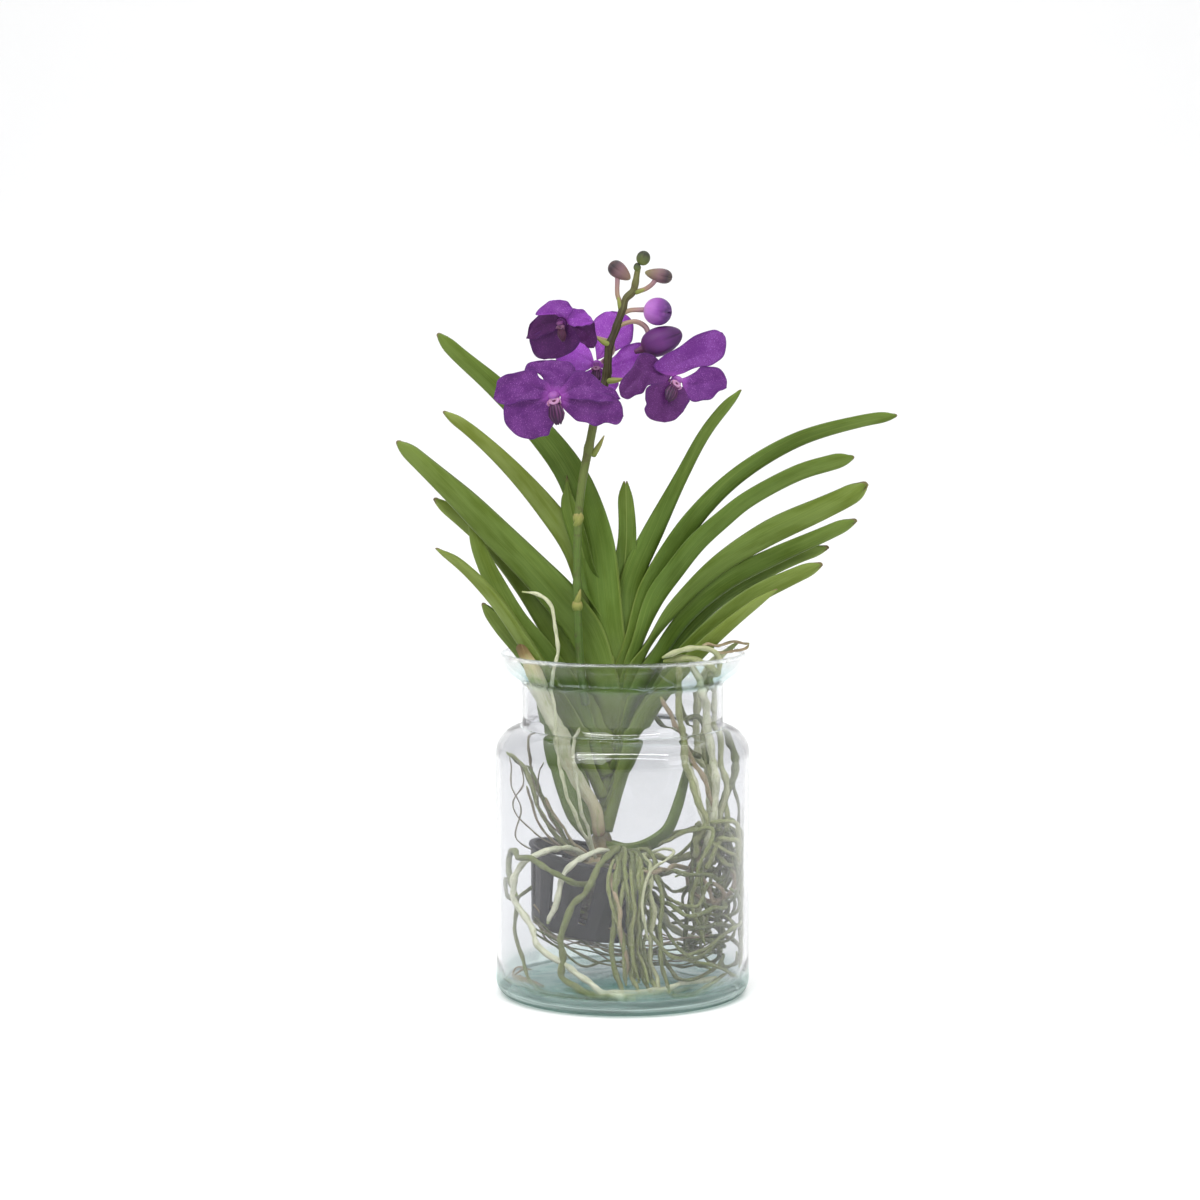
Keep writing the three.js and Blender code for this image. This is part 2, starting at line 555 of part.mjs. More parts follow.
// ---------------------------------------------------------------- cut stub and roots
// What is left of an older spike: a thick pale stub, cut off above the vase's rim.
const STUB = [
  [-18.2, -8, 116], [-25, -16, 134], [-39, -24, 162], [-49, -25, 191], [-56, -23, 214], [-59.5, -21, 227],
  [-68, -20, 247], [-72, -19, 256],
].map(vec);
const STUB_RADIUS = 4.4;
const stub = (grow = 0) => rod(STUB, (t) => lerp(3.4, STUB_RADIUS, smooth(t, 0, 0.15)) + grow, 8, 12);

const CROWN = new THREE.Vector3(-17, 0, 92);
const crown = () =>
  solidOf(turned([[0, -12], [7, -10], [11, -3], [11, 4], [7, 8], [0, 8.6]], 10).translate(...CROWN.toArray()));

// Each root starts inside the crown; its radius, then the points it passes.
const ROOTS = [
  { radius: 2.5, path: [[-12, -24, 108], [-27, -42, 107], [-43, -51, 95], [-49, -56, 74], [-53, -55, 61]] },
  { radius: 2.7, path: [[-34, -14, 106], [-56, -36, 110], [-72, -40, 98], [-76, -38, 77], [-70, -48, 62],
    [-58, -60, 45], [-38, -66, 32], [-20, -73, 18], [-4, -78, 12.2], [8, -79, 11]] },
  { radius: 2.2, path: [[-20, -34, 86], [-38, -58, 92], [-60, -54, 103], [-76, -36, 109], [-82, -20, 103],
    [-80, -28, 90], [-75, -40, 78]] },
  { radius: 2.5, path: [[-8, -26, 111], [-22, -54, 94], [-36, -62, 72], [-43, -64, 48], [-38, -70, 24],
    [-18, -79, 12.4], [2, -80, 11]] },
  { radius: 1.7, path: [[-40, 14, 94], [-62, 6, 80], [-77, -22, 68], [-74, -32, 40], [-66, -44, 15],
    [-48, -63, 11.2], [-14, -79, 11]] },
  { radius: 2.4, path: [[14, 8, 100], [40, 2, 98], [60, -4, 110], [68, -8, 135], [64, -8, 165], [61, -8, 195],
    [60, -12, 222], [64, -34, 240], [50, -42, 249], [29, -40, 247]] },
  { radius: 2.8, path: [[8, 12, 74], [42, 10, 42], [64, 8, 36], [55, 2, 62], [58, 0, 88], [68, 2, 114],
    [64, 8, 140], [57, 12, 180], [56, 16, 222], [70, 20, 243], [84, 14, 255]] },
  { radius: 1.5, path: [[10, 20, 96], [40, 26, 96], [62, 30, 120], [66, 30, 160], [52, 32, 190], [42, 34, 214],
    [44, 40, 236]] },
  { radius: 1.8, path: [[-22, -10, 106], [-31, -27, 124], [-43, -34, 162], [-47, -36, 192], [-49, -35, 207],
    [-50, -32, 226], [-46, -33, 258], [-48, -31, 270], [-54, -31, 286], [-62, -31, 294], [-72, -31, 296]] },
  { radius: 1.2, path: [[-44, 20, 104], [-58, 24, 122], [-68, 26, 146], [-76, 20, 168], [-82, 14, 178]] },
  { radius: 1.2, path: [[-38, 26, 102], [-52, 34, 124], [-66, 34, 152], [-70, 30, 186]] },
];

// The middle bundle hangs over the basket's front rim and fans out on the floor.
const BUNDLE_ROOTS = 6;
function bundleRoots() {
  const draw = draws(SEED);
  return Array.from({ length: BUNDLE_ROOTS }, (_, i) => {
    const x = -6 + 6.4 * i;
    const sway = 8 * (draw() - 0.5);
    return {
      radius: 1.9 + 0.7 * draw(),
      path: [
        [0.6 * x, -22, 104 + 5 * draw()],
        [x, -52 - 3 * draw(), 90],
        [x - sway, -58, 62],
        [x + sway, -62 + 6 * draw(), 36],
        [x + 8 + sway, -64, 11.5],
      ],
    };
  });
}

// The tangle on the right loops round inside the body's wall.
const TANGLE_ROOTS = 6;
function tangleRoots() {
  const draw = draws(SEED + 4);
  return Array.from({ length: TANGLE_ROOTS }, (_, i) => {
    const height = 26 + 13.5 * i;
    const start = THREE.MathUtils.degToRad(-58 + 12 * draw());
    const sweep = THREE.MathUtils.degToRad(105 + 30 * draw());
    const arc = [0, 0.25, 0.5, 0.75, 1].map((t) => {
      const radius = 66 + 18 * draw();
      const turn = start + sweep * t;
      const z = Math.max(height + 16 * (draw() - 0.5), 16);
      return [radius * Math.cos(turn), radius * Math.sin(turn), z];
    });
    return { radius: 1.7 + 0.7 * draw(), path: [[6, -8 + 3 * i, 84], ...arc] };
  });
}

function rootRod({ radius, path }, grow = 0) {
  const points = [CROWN, ...path.map(vec)];
  const length = new THREE.CatmullRomCurve3(points).getLength();
  const steps = Math.round(length / 19);
  return rod(points, (t) => radius * lerp(1, 0.45, smooth(t, 0.94, 1)) + grow, 5, steps);
}

const everyRoot = () => [...ROOTS, ...bundleRoots(), ...tangleRoots()];

// ---------------------------------------------------------------- assembly
addPiece("vase", vase(), glassFinish);

const grownRoots = everyRoot().map((root) => rootRod(root, CLEARANCE));
addPiece("basket", clearOf(placedBasket(), grownRoots), basketFinish);
addPiece("roots", join([crown(), ...everyRoot().map((root) => rootRod(root))]), rootFinish);
addPiece("stem", stem(), stemFinish);
addPiece("cut_stub", stub(), stumpFinish);

// Younger leaves stand inside older ones, so each older leaf is trimmed clear of the younger.
const inFront = [stem(CLEARANCE), stub(CLEARANCE), stalk(CLEARANCE)];
LEAVES.forEach((spec) => {
  addPiece(spec.name, clearOf(leaf(spec), inFront), leafFinish);
  inFront.push(leaf(spec, CLEARANCE));
});

addPiece("flower_spike", spike(), spikeFinish);
FLOWERS.forEach((flower) => {
  addPiece(flower.name, flowerTepals(flower), petalFinish);
  addPiece(`${flower.name}_lip`, flowerLip(flower), lipFinish);
});
BUDS.forEach((spec) => addPiece(spec.name, bud(spec), spec.finish));

export default group;
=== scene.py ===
"""A vanda orchid in a clear glass vase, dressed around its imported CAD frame."""
import math
import random

import bpy
import numpy as np
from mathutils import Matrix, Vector


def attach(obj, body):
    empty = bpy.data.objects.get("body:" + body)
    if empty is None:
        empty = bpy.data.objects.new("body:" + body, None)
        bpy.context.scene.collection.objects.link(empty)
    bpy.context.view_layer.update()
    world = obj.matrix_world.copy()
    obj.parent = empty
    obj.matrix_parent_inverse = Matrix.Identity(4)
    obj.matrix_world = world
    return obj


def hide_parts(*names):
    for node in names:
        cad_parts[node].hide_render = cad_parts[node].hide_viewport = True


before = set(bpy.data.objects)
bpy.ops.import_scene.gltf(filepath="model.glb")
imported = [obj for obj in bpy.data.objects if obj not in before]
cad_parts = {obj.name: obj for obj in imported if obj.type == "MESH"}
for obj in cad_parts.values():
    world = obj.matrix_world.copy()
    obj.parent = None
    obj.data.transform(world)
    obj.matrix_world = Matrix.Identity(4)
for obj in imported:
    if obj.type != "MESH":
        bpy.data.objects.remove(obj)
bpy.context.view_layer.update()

MM = 0.001  # the tables below are in millimetres, Blender's units are metres

# ------------------------------------------------------------------ camera, light, floor
CAMERA_PLACE = (-0.0165, -2.0744, 0.460)
CAMERA_DIP = 4.753  # degrees below level
CAMERA_LENS = 86.07
SENSOR = 36.0

SKY_LIGHT_SIDE = (0, 0.75, 0.66)  # the sky is white on this side and grey on the other
SKY_FADE = (-0.5, 0.45)
SKY_GREY = (0.24, 0.245, 0.25, 1)
SKY_WHITE = (1, 1, 1, 1)
SKY_STRENGTH = 1.05

FLOOR_FRONT, FLOOR_BACK, FLOOR_SIDE = -6, 2.5, 7
SWEEP_RADIUS = 1.5
SWEEP_STEPS = 12
WALL_TOP = (4, 5)
FLOOR_COLOUR = (0.92, 0.92, 0.92, 1)
FLOOR_ROUGHNESS = 0.7


def add_camera():
    data = bpy.data.cameras.new("camera")
    data.sensor_width = SENSOR
    data.lens = CAMERA_LENS
    data.clip_start = 0.05
    data.clip_end = 60
    camera = bpy.data.objects.new("camera", data)
    camera.location = CAMERA_PLACE
    camera.rotation_euler = (math.radians(90 - CAMERA_DIP), 0, 0)
    bpy.context.scene.collection.objects.link(camera)
    bpy.context.scene.camera = camera


def add_area_light(name, place, target, size, power):
    data = bpy.data.lights.new(name, "AREA")
    data.shape = "RECTANGLE"
    data.size, data.size_y = size
    data.energy = power
    lamp = bpy.data.objects.new(name, data)
    lamp.location = place
    lamp.rotation_euler = (Vector(target) - Vector(place)).to_track_quat("-Z", "Y").to_euler()
    bpy.context.scene.collection.objects.link(lamp)


def add_lights():
    middle = (0, 0, 0.3)
    add_area_light("key", (-1.9, -2.6, 3.4), middle, (2.2, 2.2), 76)
    add_area_light("top", (0.9, 1.4, 3.6), middle, (3.0, 2.4), 26)
    add_area_light("fill", (2.9, -2.2, 1.6), middle, (1.6, 2.2), 24)
    add_area_light("strip", (0, -1.0, 1.6), (0, 0, 0.2), (2.4, 0.12), 15)
    add_area_light("backdrop", (0, 1.6, 3.4), (0, 4, 1.7), (4.0, 1.0), 21)


def add_world():
    """White above and behind the object, greyer low down in front and at the sides, which draws the glass."""
    world = bpy.data.worlds.new("studio")
    world.use_nodes = True
    bpy.context.scene.world = world
    tree = world.node_tree
    background = tree.nodes["Background"]
    where = tree.nodes.new("ShaderNodeTexCoord")
    towards = tree.nodes.new("ShaderNodeVectorMath")
    towards.operation = "DOT_PRODUCT"
    towards.inputs[1].default_value = SKY_LIGHT_SIDE
    tree.links.new(where.outputs["Generated"], towards.inputs[0])
    half = tree.nodes.new("ShaderNodeMapRange")
    half.inputs["From Min"].default_value, half.inputs["From Max"].default_value = SKY_FADE
    tree.links.new(towards.outputs["Value"], half.inputs["Value"])
    shade = tree.nodes.new("ShaderNodeValToRGB")
    shade.color_ramp.elements[0].color = SKY_GREY
    shade.color_ramp.elements[1].color = SKY_WHITE
    tree.links.new(half.outputs["Result"], shade.inputs["Fac"])
    tree.links.new(shade.outputs["Color"], background.inputs["Color"])
    background.inputs["Strength"].default_value = SKY_STRENGTH


def add_floor():
    """A pale floor that sweeps up behind the object."""
    sweep = [(FLOOR_FRONT, 0), (FLOOR_BACK, 0)]
    for i in range(1, SWEEP_STEPS + 1):
        a = math.radians(90 * i / SWEEP_STEPS)
        sweep.append((FLOOR_BACK + SWEEP_RADIUS * math.sin(a), SWEEP_RADIUS * (1 - math.cos(a))))
    sweep.append(WALL_TOP)
    points = [(x, y, z) for y, z in sweep for x in (-FLOOR_SIDE, FLOOR_SIDE)]
    faces = [(2 * i, 2 * i + 1, 2 * i + 3, 2 * i + 2) for i in range(len(sweep) - 1)]
    mesh = bpy.data.meshes.new("floor")
    mesh.from_pydata(points, [], faces)
    mesh.shade_smooth()
    floor = bpy.data.objects.new("floor", mesh)
    bpy.context.scene.collection.objects.link(floor)
    material = bpy.data.materials.new("floor")
    material.use_nodes = True
    shader = material.node_tree.nodes["Principled BSDF"]
    shader.inputs["Base Color"].default_value = FLOOR_COLOUR
    shader.inputs["Roughness"].default_value = FLOOR_ROUGHNESS
    mesh.materials.append(material)


# ------------------------------------------------------------------ small numeric helpers
CURVE_STEPS = 20  # steps between two points of a smooth curve
FIRST_NORMAL = (0.31, 0.83, 0.47)  # a direction that no rod starts along
DOME = np.array((0.35, 0.8))  # the last rings' radii as shares of a rod's own
DOME_REACH = (0.5, 0.3)  # and how far past the rod's end they stand, in radii


def unit(v):
    v = np.asarray(v, float)
    return v / np.maximum(np.linalg.norm(v, axis=-1, keepdims=True), 1e-12)


def smooth(x, low, high):
    t = np.clip((np.asarray(x, float) - low) / (high - low), 0, 1)
    return t * t * (3 - 2 * t)


def lerp(a, b, t):
    return a + (b - a) * t


def through(points):
    """A dense line on the smooth curve through the points (centripetal Catmull-Rom)."""
    p = np.array(points, float)
    p = np.vstack([2 * p[0] - p[1], p, 2 * p[-1] - p[-2]])
    s = np.linspace(0, 1, CURVE_STEPS, endpoint=False)[:, None]
    pieces = []
    for k in range(1, len(p) - 2):
        p0, p1, p2, p3 = p[k - 1:k + 3]
        steps = ((p0, p1), (p1, p2), (p2, p3))
        d0, d1, d2 = (max(np.linalg.norm(b - a) ** 0.5, 1e-4) for a, b in steps)
        t1 = ((p1 - p0) / d0 - (p2 - p0) / (d0 + d1) + (p2 - p1) / d1) * d1
        t2 = ((p2 - p1) / d1 - (p3 - p1) / (d1 + d2) + (p3 - p2) / d2) * d1
        cubic = (-3 * p1 + 3 * p2 - 2 * t1 - t2) * s ** 2 + (2 * p1 - 2 * p2 + t1 + t2) * s ** 3
        pieces.append(p1 + t1 * s + cubic)
    pieces.append(p[-2][None])
    return np.vstack(pieces)


def even(line, count):
    """count + 1 points at equal steps on a line, with unit tangents and the line's length."""
    run = np.concatenate([[0], np.cumsum(np.linalg.norm(np.diff(line, axis=0), axis=1))])
    want = np.linspace(0, run[-1], count + 1)
    at = np.stack([np.interp(want, run, line[:, k]) for k in range(3)], 1)
    return at, unit(np.gradient(at, axis=0)), run[-1]


def carried_frames(tangents):
    """Two unit vectors square to each tangent, carried along without twist."""
    start = np.array(FIRST_NORMAL)
    normals = []
    for t in tangents:
        start = start - np.dot(start, t) * t
        start = start / max(np.linalg.norm(start), 1e-9)
        normals.append(start)
    normals = np.array(normals)
    return normals, np.cross(tangents, normals)


def basis_of(facing):
    """Right, up and face of a flower's or bud's own frame."""
    face = unit(facing)
    right = unit(np.cross((0, 0, 1), face))
    return np.stack([right, np.cross(face, right), face])


# ------------------------------------------------------------------ pieces
class Skin:
    """Points and faces of one piece, gathered part by part, with values kept at each point."""

    def __init__(self):
        self.points, self.faces, self.values, self.count = [], [], {}, 0

    def add(self, points, faces, **values):
        points = np.asarray(points, float).reshape(-1, 3)
        self.points.append(points)
        self.faces += [tuple(int(i) + self.count for i in f) for f in faces]
        for key, value in values.items():
            self.values.setdefault(key, []).append(np.asarray(value, float))
        self.count += len(points)

    def piece(self, name, material, slot, *nodes):
        mesh = bpy.data.meshes.new(name)
        mesh.from_pydata((np.vstack(self.points) * MM).tolist(), [], self.faces)
        for key, parts in self.values.items():
            data = np.concatenate(parts).astype(np.float32)
            vector = data.ndim == 2
            layer = mesh.attributes.new(key, "FLOAT_VECTOR" if vector else "FLOAT", "POINT")
            layer.data.foreach_set("vector" if vector else "value", data.ravel())
        mesh.validate()
        mesh.shade_smooth()
        mesh.materials.append(material)
        obj = bpy.data.objects.new(name, mesh)
        bpy.context.scene.collection.objects.link(obj)
        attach(obj, "root")
        if nodes:
            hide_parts(*nodes)
        return obj


def grid_faces(rows, columns, wrap=False, flip=False):
    faces = []
    for i in range(rows - 1):
        for j in range(columns if wrap else columns - 1):
            k = (j + 1) % columns
            face = (i * columns + j, i * columns + k, (i + 1) * columns + k, (i + 1) * columns + j)
            faces.append(face[::-1] if flip else face)
    return faces


def ring_faces(rows, sides):
    """Faces of rings stacked from the lowest up, closed at both ends."""
    ends = [tuple(range(sides - 1, -1, -1)), tuple((rows - 1) * sides + j for j in range(sides))]
    return grid_faces(rows, sides, wrap=True) + ends


def sheet(middle, thickness):
    """Both faces and the rim of a thin blade: middle is rows x columns x 3, thickness is at each point."""
    rows, columns = middle.shape[:2]
    down = np.gradient(middle, axis=0)
    over = np.gradient(middle, axis=1)
    normal = unit(np.cross(over, down))
    closed = np.linalg.norm(over[-1], axis=-1, keepdims=True) < 1e-6  # where the last row meets in a point
    normal[-1] = np.where(closed, normal[-2], normal[-1])
    half = (np.broadcast_to(thickness, (rows, columns)) / 2)[..., None]
    points = np.vstack([(middle + normal * half).reshape(-1, 3), (middle - normal * half).reshape(-1, 3)])
    count = rows * columns
    faces = grid_faces(rows, columns, flip=True)
    faces += [tuple(i + count for i in f) for f in grid_faces(rows, columns)]
    border = list(range(columns))
    border += [i * columns + columns - 1 for i in range(1, rows)]
    border += [(rows - 1) * columns + j for j in range(columns - 2, -1, -1)]
    border += [i * columns for i in range(rows - 2, 0, -1)]
    for a, b in zip(border, border[1:] + border[:1]):
        faces.append((a, b, b + count, a + count))
    return points, faces


def tube(line, radius, sides, step, wobble=None):
    """A round rod with domed ends. Its radius depends on the distance along and the share of the length."""
    rough_length = np.linalg.norm(np.diff(line, axis=0), axis=1).sum()
    at, tangent, length = even(line, max(int(rough_length / step), 3))
    t = np.linspace(0, 1, len(at))
    size = radius(t * length, t)
    far, near = DOME_REACH
    first, last = tangent[0] * size[0], tangent[-1] * size[-1]
    at = np.vstack([at[0] - first * far, at[0] - first * near, at, at[-1] + last * near, at[-1] + last * far])
    tangent = np.vstack([tangent[[0, 0]], tangent, tangent[[-1, -1]]])
    size = np.concatenate([size[0] * DOME, size, size[-1] * DOME[::-1]])
    t = np.concatenate([[0, 0], t, [1, 1]])
    normal, other = carried_frames(tangent)
    turn = np.linspace(0, 2 * np.pi, sides, endpoint=False)
    rim = size[:, None] * (wobble(t * length, turn) if wobble else np.ones((1, sides)))
    ring = np.cos(turn)[None, :, None] * normal[:, None] + np.sin(turn)[None, :, None] * other[:, None]
    points = at[:, None] + ring * rim[..., None]
    faces = grid_faces(len(at), sides, wrap=True, flip=True)
    faces.append(tuple(range(sides)))
    faces.append(tuple((len(at) - 1) * sides + j for j in range(sides - 1, -1, -1)))
    along = np.repeat(t * length, sides)
    return points.reshape(-1, 3), faces, np.repeat(t, sides), along, np.tile(turn, len(at))


# ------------------------------------------------------------------ material helpers
def colour(code):
    """A colour written as RRGGBB, in linear light."""
    parts = [int(code[i:i + 2], 16) / 255 for i in (0, 2, 4)]
    return (*[c / 12.92 if c <= 0.04045 else ((c + 0.055) / 1.055) ** 2.4 for c in parts], 1)


class Shade:
    """One material's node tree, with short names for the nodes it uses."""

    def __init__(self, name, roughness=0.5, **sockets):
        self.material = bpy.data.materials.new(name)
        self.material.use_nodes = True
        self.tree = self.material.node_tree
        self.shader = self.tree.nodes["Principled BSDF"]
        self.set(Roughness=roughness, **sockets)

    def wire(self, socket, value):
        if isinstance(value, bpy.types.NodeSocket):
            self.tree.links.new(value, socket)
        else:
            socket.default_value = value

    def set(self, **sockets):
        for name, value in sockets.items():
            self.wire(self.shader.inputs[name.replace("_", " ")], value)

    def node(self, kind, **settings):
        made = self.tree.nodes.new("ShaderNode" + kind)
        for key, value in settings.items():
            setattr(made, key, value)
        return made

    def attribute(self, name, output="Fac"):
        return self.node("Attribute", attribute_name=name).outputs[output]

    def parts(self, vector):
        split = self.node("SeparateXYZ")
        self.wire(split.inputs[0], vector)
        return split.outputs

    def maths(self, operation, *values):
        made = self.node("Math", operation=operation)
        for socket, value in zip(made.inputs, values):
            self.wire(socket, value)
        return made.outputs[0]

    def times(self, first, second):
        return self.maths("MULTIPLY", first, second)

    def scaled(self, vector, factors):
        made = self.node("VectorMath", operation="MULTIPLY")
        self.wire(made.inputs[0], vector)
        made.inputs[1].default_value = factors
        return made.outputs[0]

    def mix(self, factor, first, second, blend="MIX"):
        made = self.node("Mix", data_type="RGBA", blend_type=blend)
        self.wire(made.inputs[0], factor)
        self.wire(made.inputs[6], first)
        self.wire(made.inputs[7], second)
        return made.outputs[2]

    def wash(self, base, mask, share, code):
        """The base with a share of a colour laid over it where the mask is."""
        return self.mix(self.times(mask, share), base, colour(code))

    def ramp(self, value, *stops, curve="LINEAR"):
        made = self.node("ValToRGB")
        bar = made.color_ramp
        bar.interpolation = curve
        while len(bar.elements) < len(stops):
            bar.elements.new(0.5)
        for element, (place, code) in zip(bar.elements, stops):
            element.position = place
            element.color = colour(code) if isinstance(code, str) else (code, code, code, 1)
        self.wire(made.inputs["Fac"], value)
        return made.outputs["Color"]

    def near_zero(self, value, width):
        """1 where the value is 0, falling to 0 where it is width."""
        return self.ramp(value, (0.0, 1.0), (width, 0.0))

    def noise(self, vector, scale, detail=3.0, roughness=0.5):
        made = self.node("TexNoise")
        self.wire(made.inputs["Vector"], vector)
        made.inputs["Scale"].default_value = scale
        made.inputs["Detail"].default_value = detail
        made.inputs["Roughness"].default_value = roughness
        return made.outputs["Fac"]

    def streaks(self, flat, along, over, detail=3.0, roughness=0.5):
        """Noise stretched on a flat map: how fine its grain is along the piece and across it."""
        return self.noise(self.scaled(flat, (along, over, 1)), 1.0, detail, roughness)

    def cells(self, vector, feature="F1", output="Distance"):
        made = self.node("TexVoronoi", feature=feature)
        self.wire(made.inputs["Vector"], vector)
        made.inputs["Scale"].default_value = 1.0
        return made.outputs[output]

    def place(self):
        return self.node("TexCoord").outputs["Object"]

    def band(self, value, low, high):
        """0 below low, 1 above high, smooth between."""
        made = self.node("MapRange", interpolation_type="SMOOTHSTEP")
        self.wire(made.inputs["Value"], value)
        made.inputs["From Min"].default_value = low
        made.inputs["From Max"].default_value = high
        return made.outputs["Result"]

    def below(self, value, low, high):
        """1 below low, 0 above high, smooth between."""
        return self.maths("SUBTRACT", 1.0, self.band(value, low, high))

    def finish(self, base, height, strength, distance, **more):
        """The material, once its colour and relief are set."""
        self.set(Base_Color=base, **more)
        self.bump(height, strength, distance)
        return self.material

    def bump(self, height, strength, distance):
        made = self.node("Bump")
        made.inputs["Strength"].default_value = strength
        made.inputs["Distance"].default_value = distance * MM
        self.wire(made.inputs["Height"], height)
        self.set(Normal=made.outputs["Normal"])


def leaf_material():
    """Waxy strap leaves: fine parallel veins, paler towards the tip, pale margins low down, brown tooth."""
    s = Shade("leaf", roughness=0.5, Specular_IOR_Level=0.2)
    t, across, pale = s.parts(s.attribute("leaf", "Vector"))
    flat = s.attribute("flat", "Vector")
    to_tip = s.parts(flat)[0]
    dark = s.ramp(t, (0.0, "5E7034"), (0.2, "566E2B"), (0.45, "4D6524"), (0.75, "516727"), (1.0, "5F732F"))
    light = s.ramp(t, (0.0, "7C8444"), (0.35, "768746"), (1.0, "88934C"))
    body = s.mix(pale, dark, light)
    cloud = s.streaks(flat, 0.03, 0.14)
    body = s.mix(s.band(cloud, 0.35, 0.7), body, s.mix(1.0, body, colour("D8DC9E"), "MULTIPLY"))
    veins = s.streaks(flat, 0.012, 1.9, 4, 0.65)
    body = s.wash(body, s.band(veins, 0.42, 0.72), 0.2, "8C9E4C")
    speck = s.cells(s.scaled(flat, (0.22, 0.3, 1)))
    body = s.wash(body, s.near_zero(speck, 0.07), 0.4, "4B5520")
    side = s.maths("ABSOLUTE", across)
    pale_margin = s.times(s.band(side, 0.93, 0.98), s.below(t, 0.22, 0.42))
    body = s.wash(body, pale_margin, 0.12, "A9AC60")
    grey_margin = s.times(s.band(side, 0.95, 1.0), s.band(t, 0.35, 0.6))
    body = s.wash(body, grey_margin, 0.3, "5F6A40")
    keel = s.times(s.near_zero(side, 0.07), s.band(t, 0.3, 0.5))
    body = s.wash(body, keel, 0.3, "A3AE66")
    dry_tip = s.below(s.maths("MULTIPLY_ADD", cloud, 1.2, to_tip), 0.9, 2.2)
    body = s.mix(dry_tip, body, colour("6E6040"))
    return s.finish(body, veins, 0.3, 0.25, Roughness=s.maths("MULTIPLY_ADD", veins, 0.16, 0.4))


def petal_map(s, flat):
    """The tepal's flat map, bent a little so that its pattern runs unevenly."""
    drift = s.node("TexNoise")
    s.wire(drift.inputs["Vector"], s.scaled(flat, (0.3, 0.3, 1)))
    drift.inputs["Scale"].default_value = 1.0
    bent = s.node("VectorMath", operation="ADD")
    s.wire(bent.inputs[0], s.scaled(flat, (1.12, 1.12, 1)))
    s.wire(bent.inputs[1], s.scaled(drift.outputs["Color"], (0.9, 0.9, 0)))
    return bent.outputs[0]


def petal_material():
    """Deep violet tepals: rows of paler flecks between darker veins, a pinker claw and a darker rim, with
    light and shade painted in tepal by tepal.
    """
    s = Shade("petal", roughness=0.55, Sheen_Weight=0.08, Sheen_Roughness=0.4, Specular_IOR_Level=0.22,
              Subsurface_Weight=0.08, Subsurface_Scale=0.001)
    s.shader.inputs["Sheen Tint"].default_value = colour("C58AE0")
    s.shader.inputs["Subsurface Radius"].default_value = (1.0, 0.3, 0.9)
    u, across, inner = s.parts(s.attribute("petal", "Vector"))
    flat = s.attribute("flat", "Vector")
    # painted light: each tepal's value runs from 0, painted in shade, to 1, painted brightly lit, and picks
    # its violet
    tone = s.attribute("tone")
    deep = s.ramp(tone, (0.0, "45154C"), (0.3, "501C62"), (0.6, "702B8A"), (1.0, "A24CC4"))
    pale = s.ramp(tone, (0.0, "6A3478"), (0.3, "9656AA"), (0.6, "B070CA"), (1.0, "D492EE"))
    wavy = petal_map(s, flat)
    flecks = s.ramp(s.cells(wavy), (0.0, 0.85), (0.16, 0.75), (0.4, 0.0))
    flecks = s.times(flecks, s.band(s.cells(wavy, output="Color"), 0.2, 0.8))
    net = s.near_zero(s.cells(wavy, "DISTANCE_TO_EDGE"), 0.12)
    cloud = s.streaks(flat, 0.11, 0.11)
    base = s.mix(s.band(cloud, 0.3, 0.75), deep, s.mix(0.2, deep, pale))
    base = s.mix(s.times(net, 0.35), base, s.mix(1.0, deep, colour("B090C0"), "MULTIPLY"))
    base = s.mix(s.times(flecks, s.band(cloud, 0.15, 0.6)), base, pale)
    claw = s.ramp(u, (0.0, 1.0), (0.06, 0.6), (0.17, 0.0), curve="EASE")
    # painted shade also dims the pink claw on the shaded tepals
    base = s.wash(base, s.times(claw, s.band(tone, 0.02, 0.3)), 0.8, "984AA8")
    rim = s.band(s.maths("ABSOLUTE", across), 0.84, 1.0)
    end = s.band(u, 0.93, 1.0)
    base = s.wash(base, s.maths("MAXIMUM", rim, end), 0.5, "43185C")
    # the underside's colour is painted lighter or darker by the same painted light value
    under = s.ramp(tone, (0.0, "8A48A0"), (0.3, "6A2F80"), (1.0, "9450B4"))
    back = s.mix(0.35, s.mix(s.band(cloud, 0.4, 0.7), under, pale), base)
    relief = s.maths("SUBTRACT", cloud, s.times(net, 0.5))
    return s.finish(s.mix(inner, back, base), relief, 0.35, 0.25)


def lip_material():
    """The lip's ridged plum blade and the column's pale pink, told apart by zone, with painted shade in the
    cavity and inside the cupped flower.
    """
    s = Shade("lip", roughness=0.5, Specular_IOR_Level=0.35, Subsurface_Weight=0.1, Subsurface_Scale=0.001)
    zone = s.attribute("zone")
    u, across, _ = s.parts(s.attribute("petal", "Vector"))
    flat = s.attribute("flat", "Vector")
    stripe = s.band(s.maths("SINE", s.times(across, 16.0)), -0.2, 0.7)
    striped = s.times(stripe, s.ramp(u, (0.0, 1.0), (0.6, 0.5), (1.0, 0.0)))
    plum = s.mix(striped, colour("2C0A30"), colour("64305E"))
    plum = s.mix(s.ramp(u, (0.0, 0.6), (0.2, 0.0)), plum, colour("9A6496"))
    speck = s.cells(s.scaled(flat, (1.4, 1.4, 1.4)))
    pink = s.mix(s.near_zero(speck, 0.3), colour("8C4E9A"), colour("6E2E7C"))
    pale = s.mix(s.noise(flat, 0.5), colour("C89CC4"), colour("93597F"))
    base = s.mix(s.band(zone, 0.2, 0.3), plum, pink)
    base = s.mix(s.band(zone, 0.45, 0.55), base, pale)
    # painted shade: the plug in the ring's hollow is coloured dark
    base = s.mix(s.band(zone, 0.7, 0.8), base, colour("5E2550"))
    # painted shade: the column and lip are darkened towards 4A1F34 where the shade value is set
    base = s.mix(s.attribute("shade"), base, colour("4A1F34"))
    return s.finish(base, stripe, 0.25, 0.2)


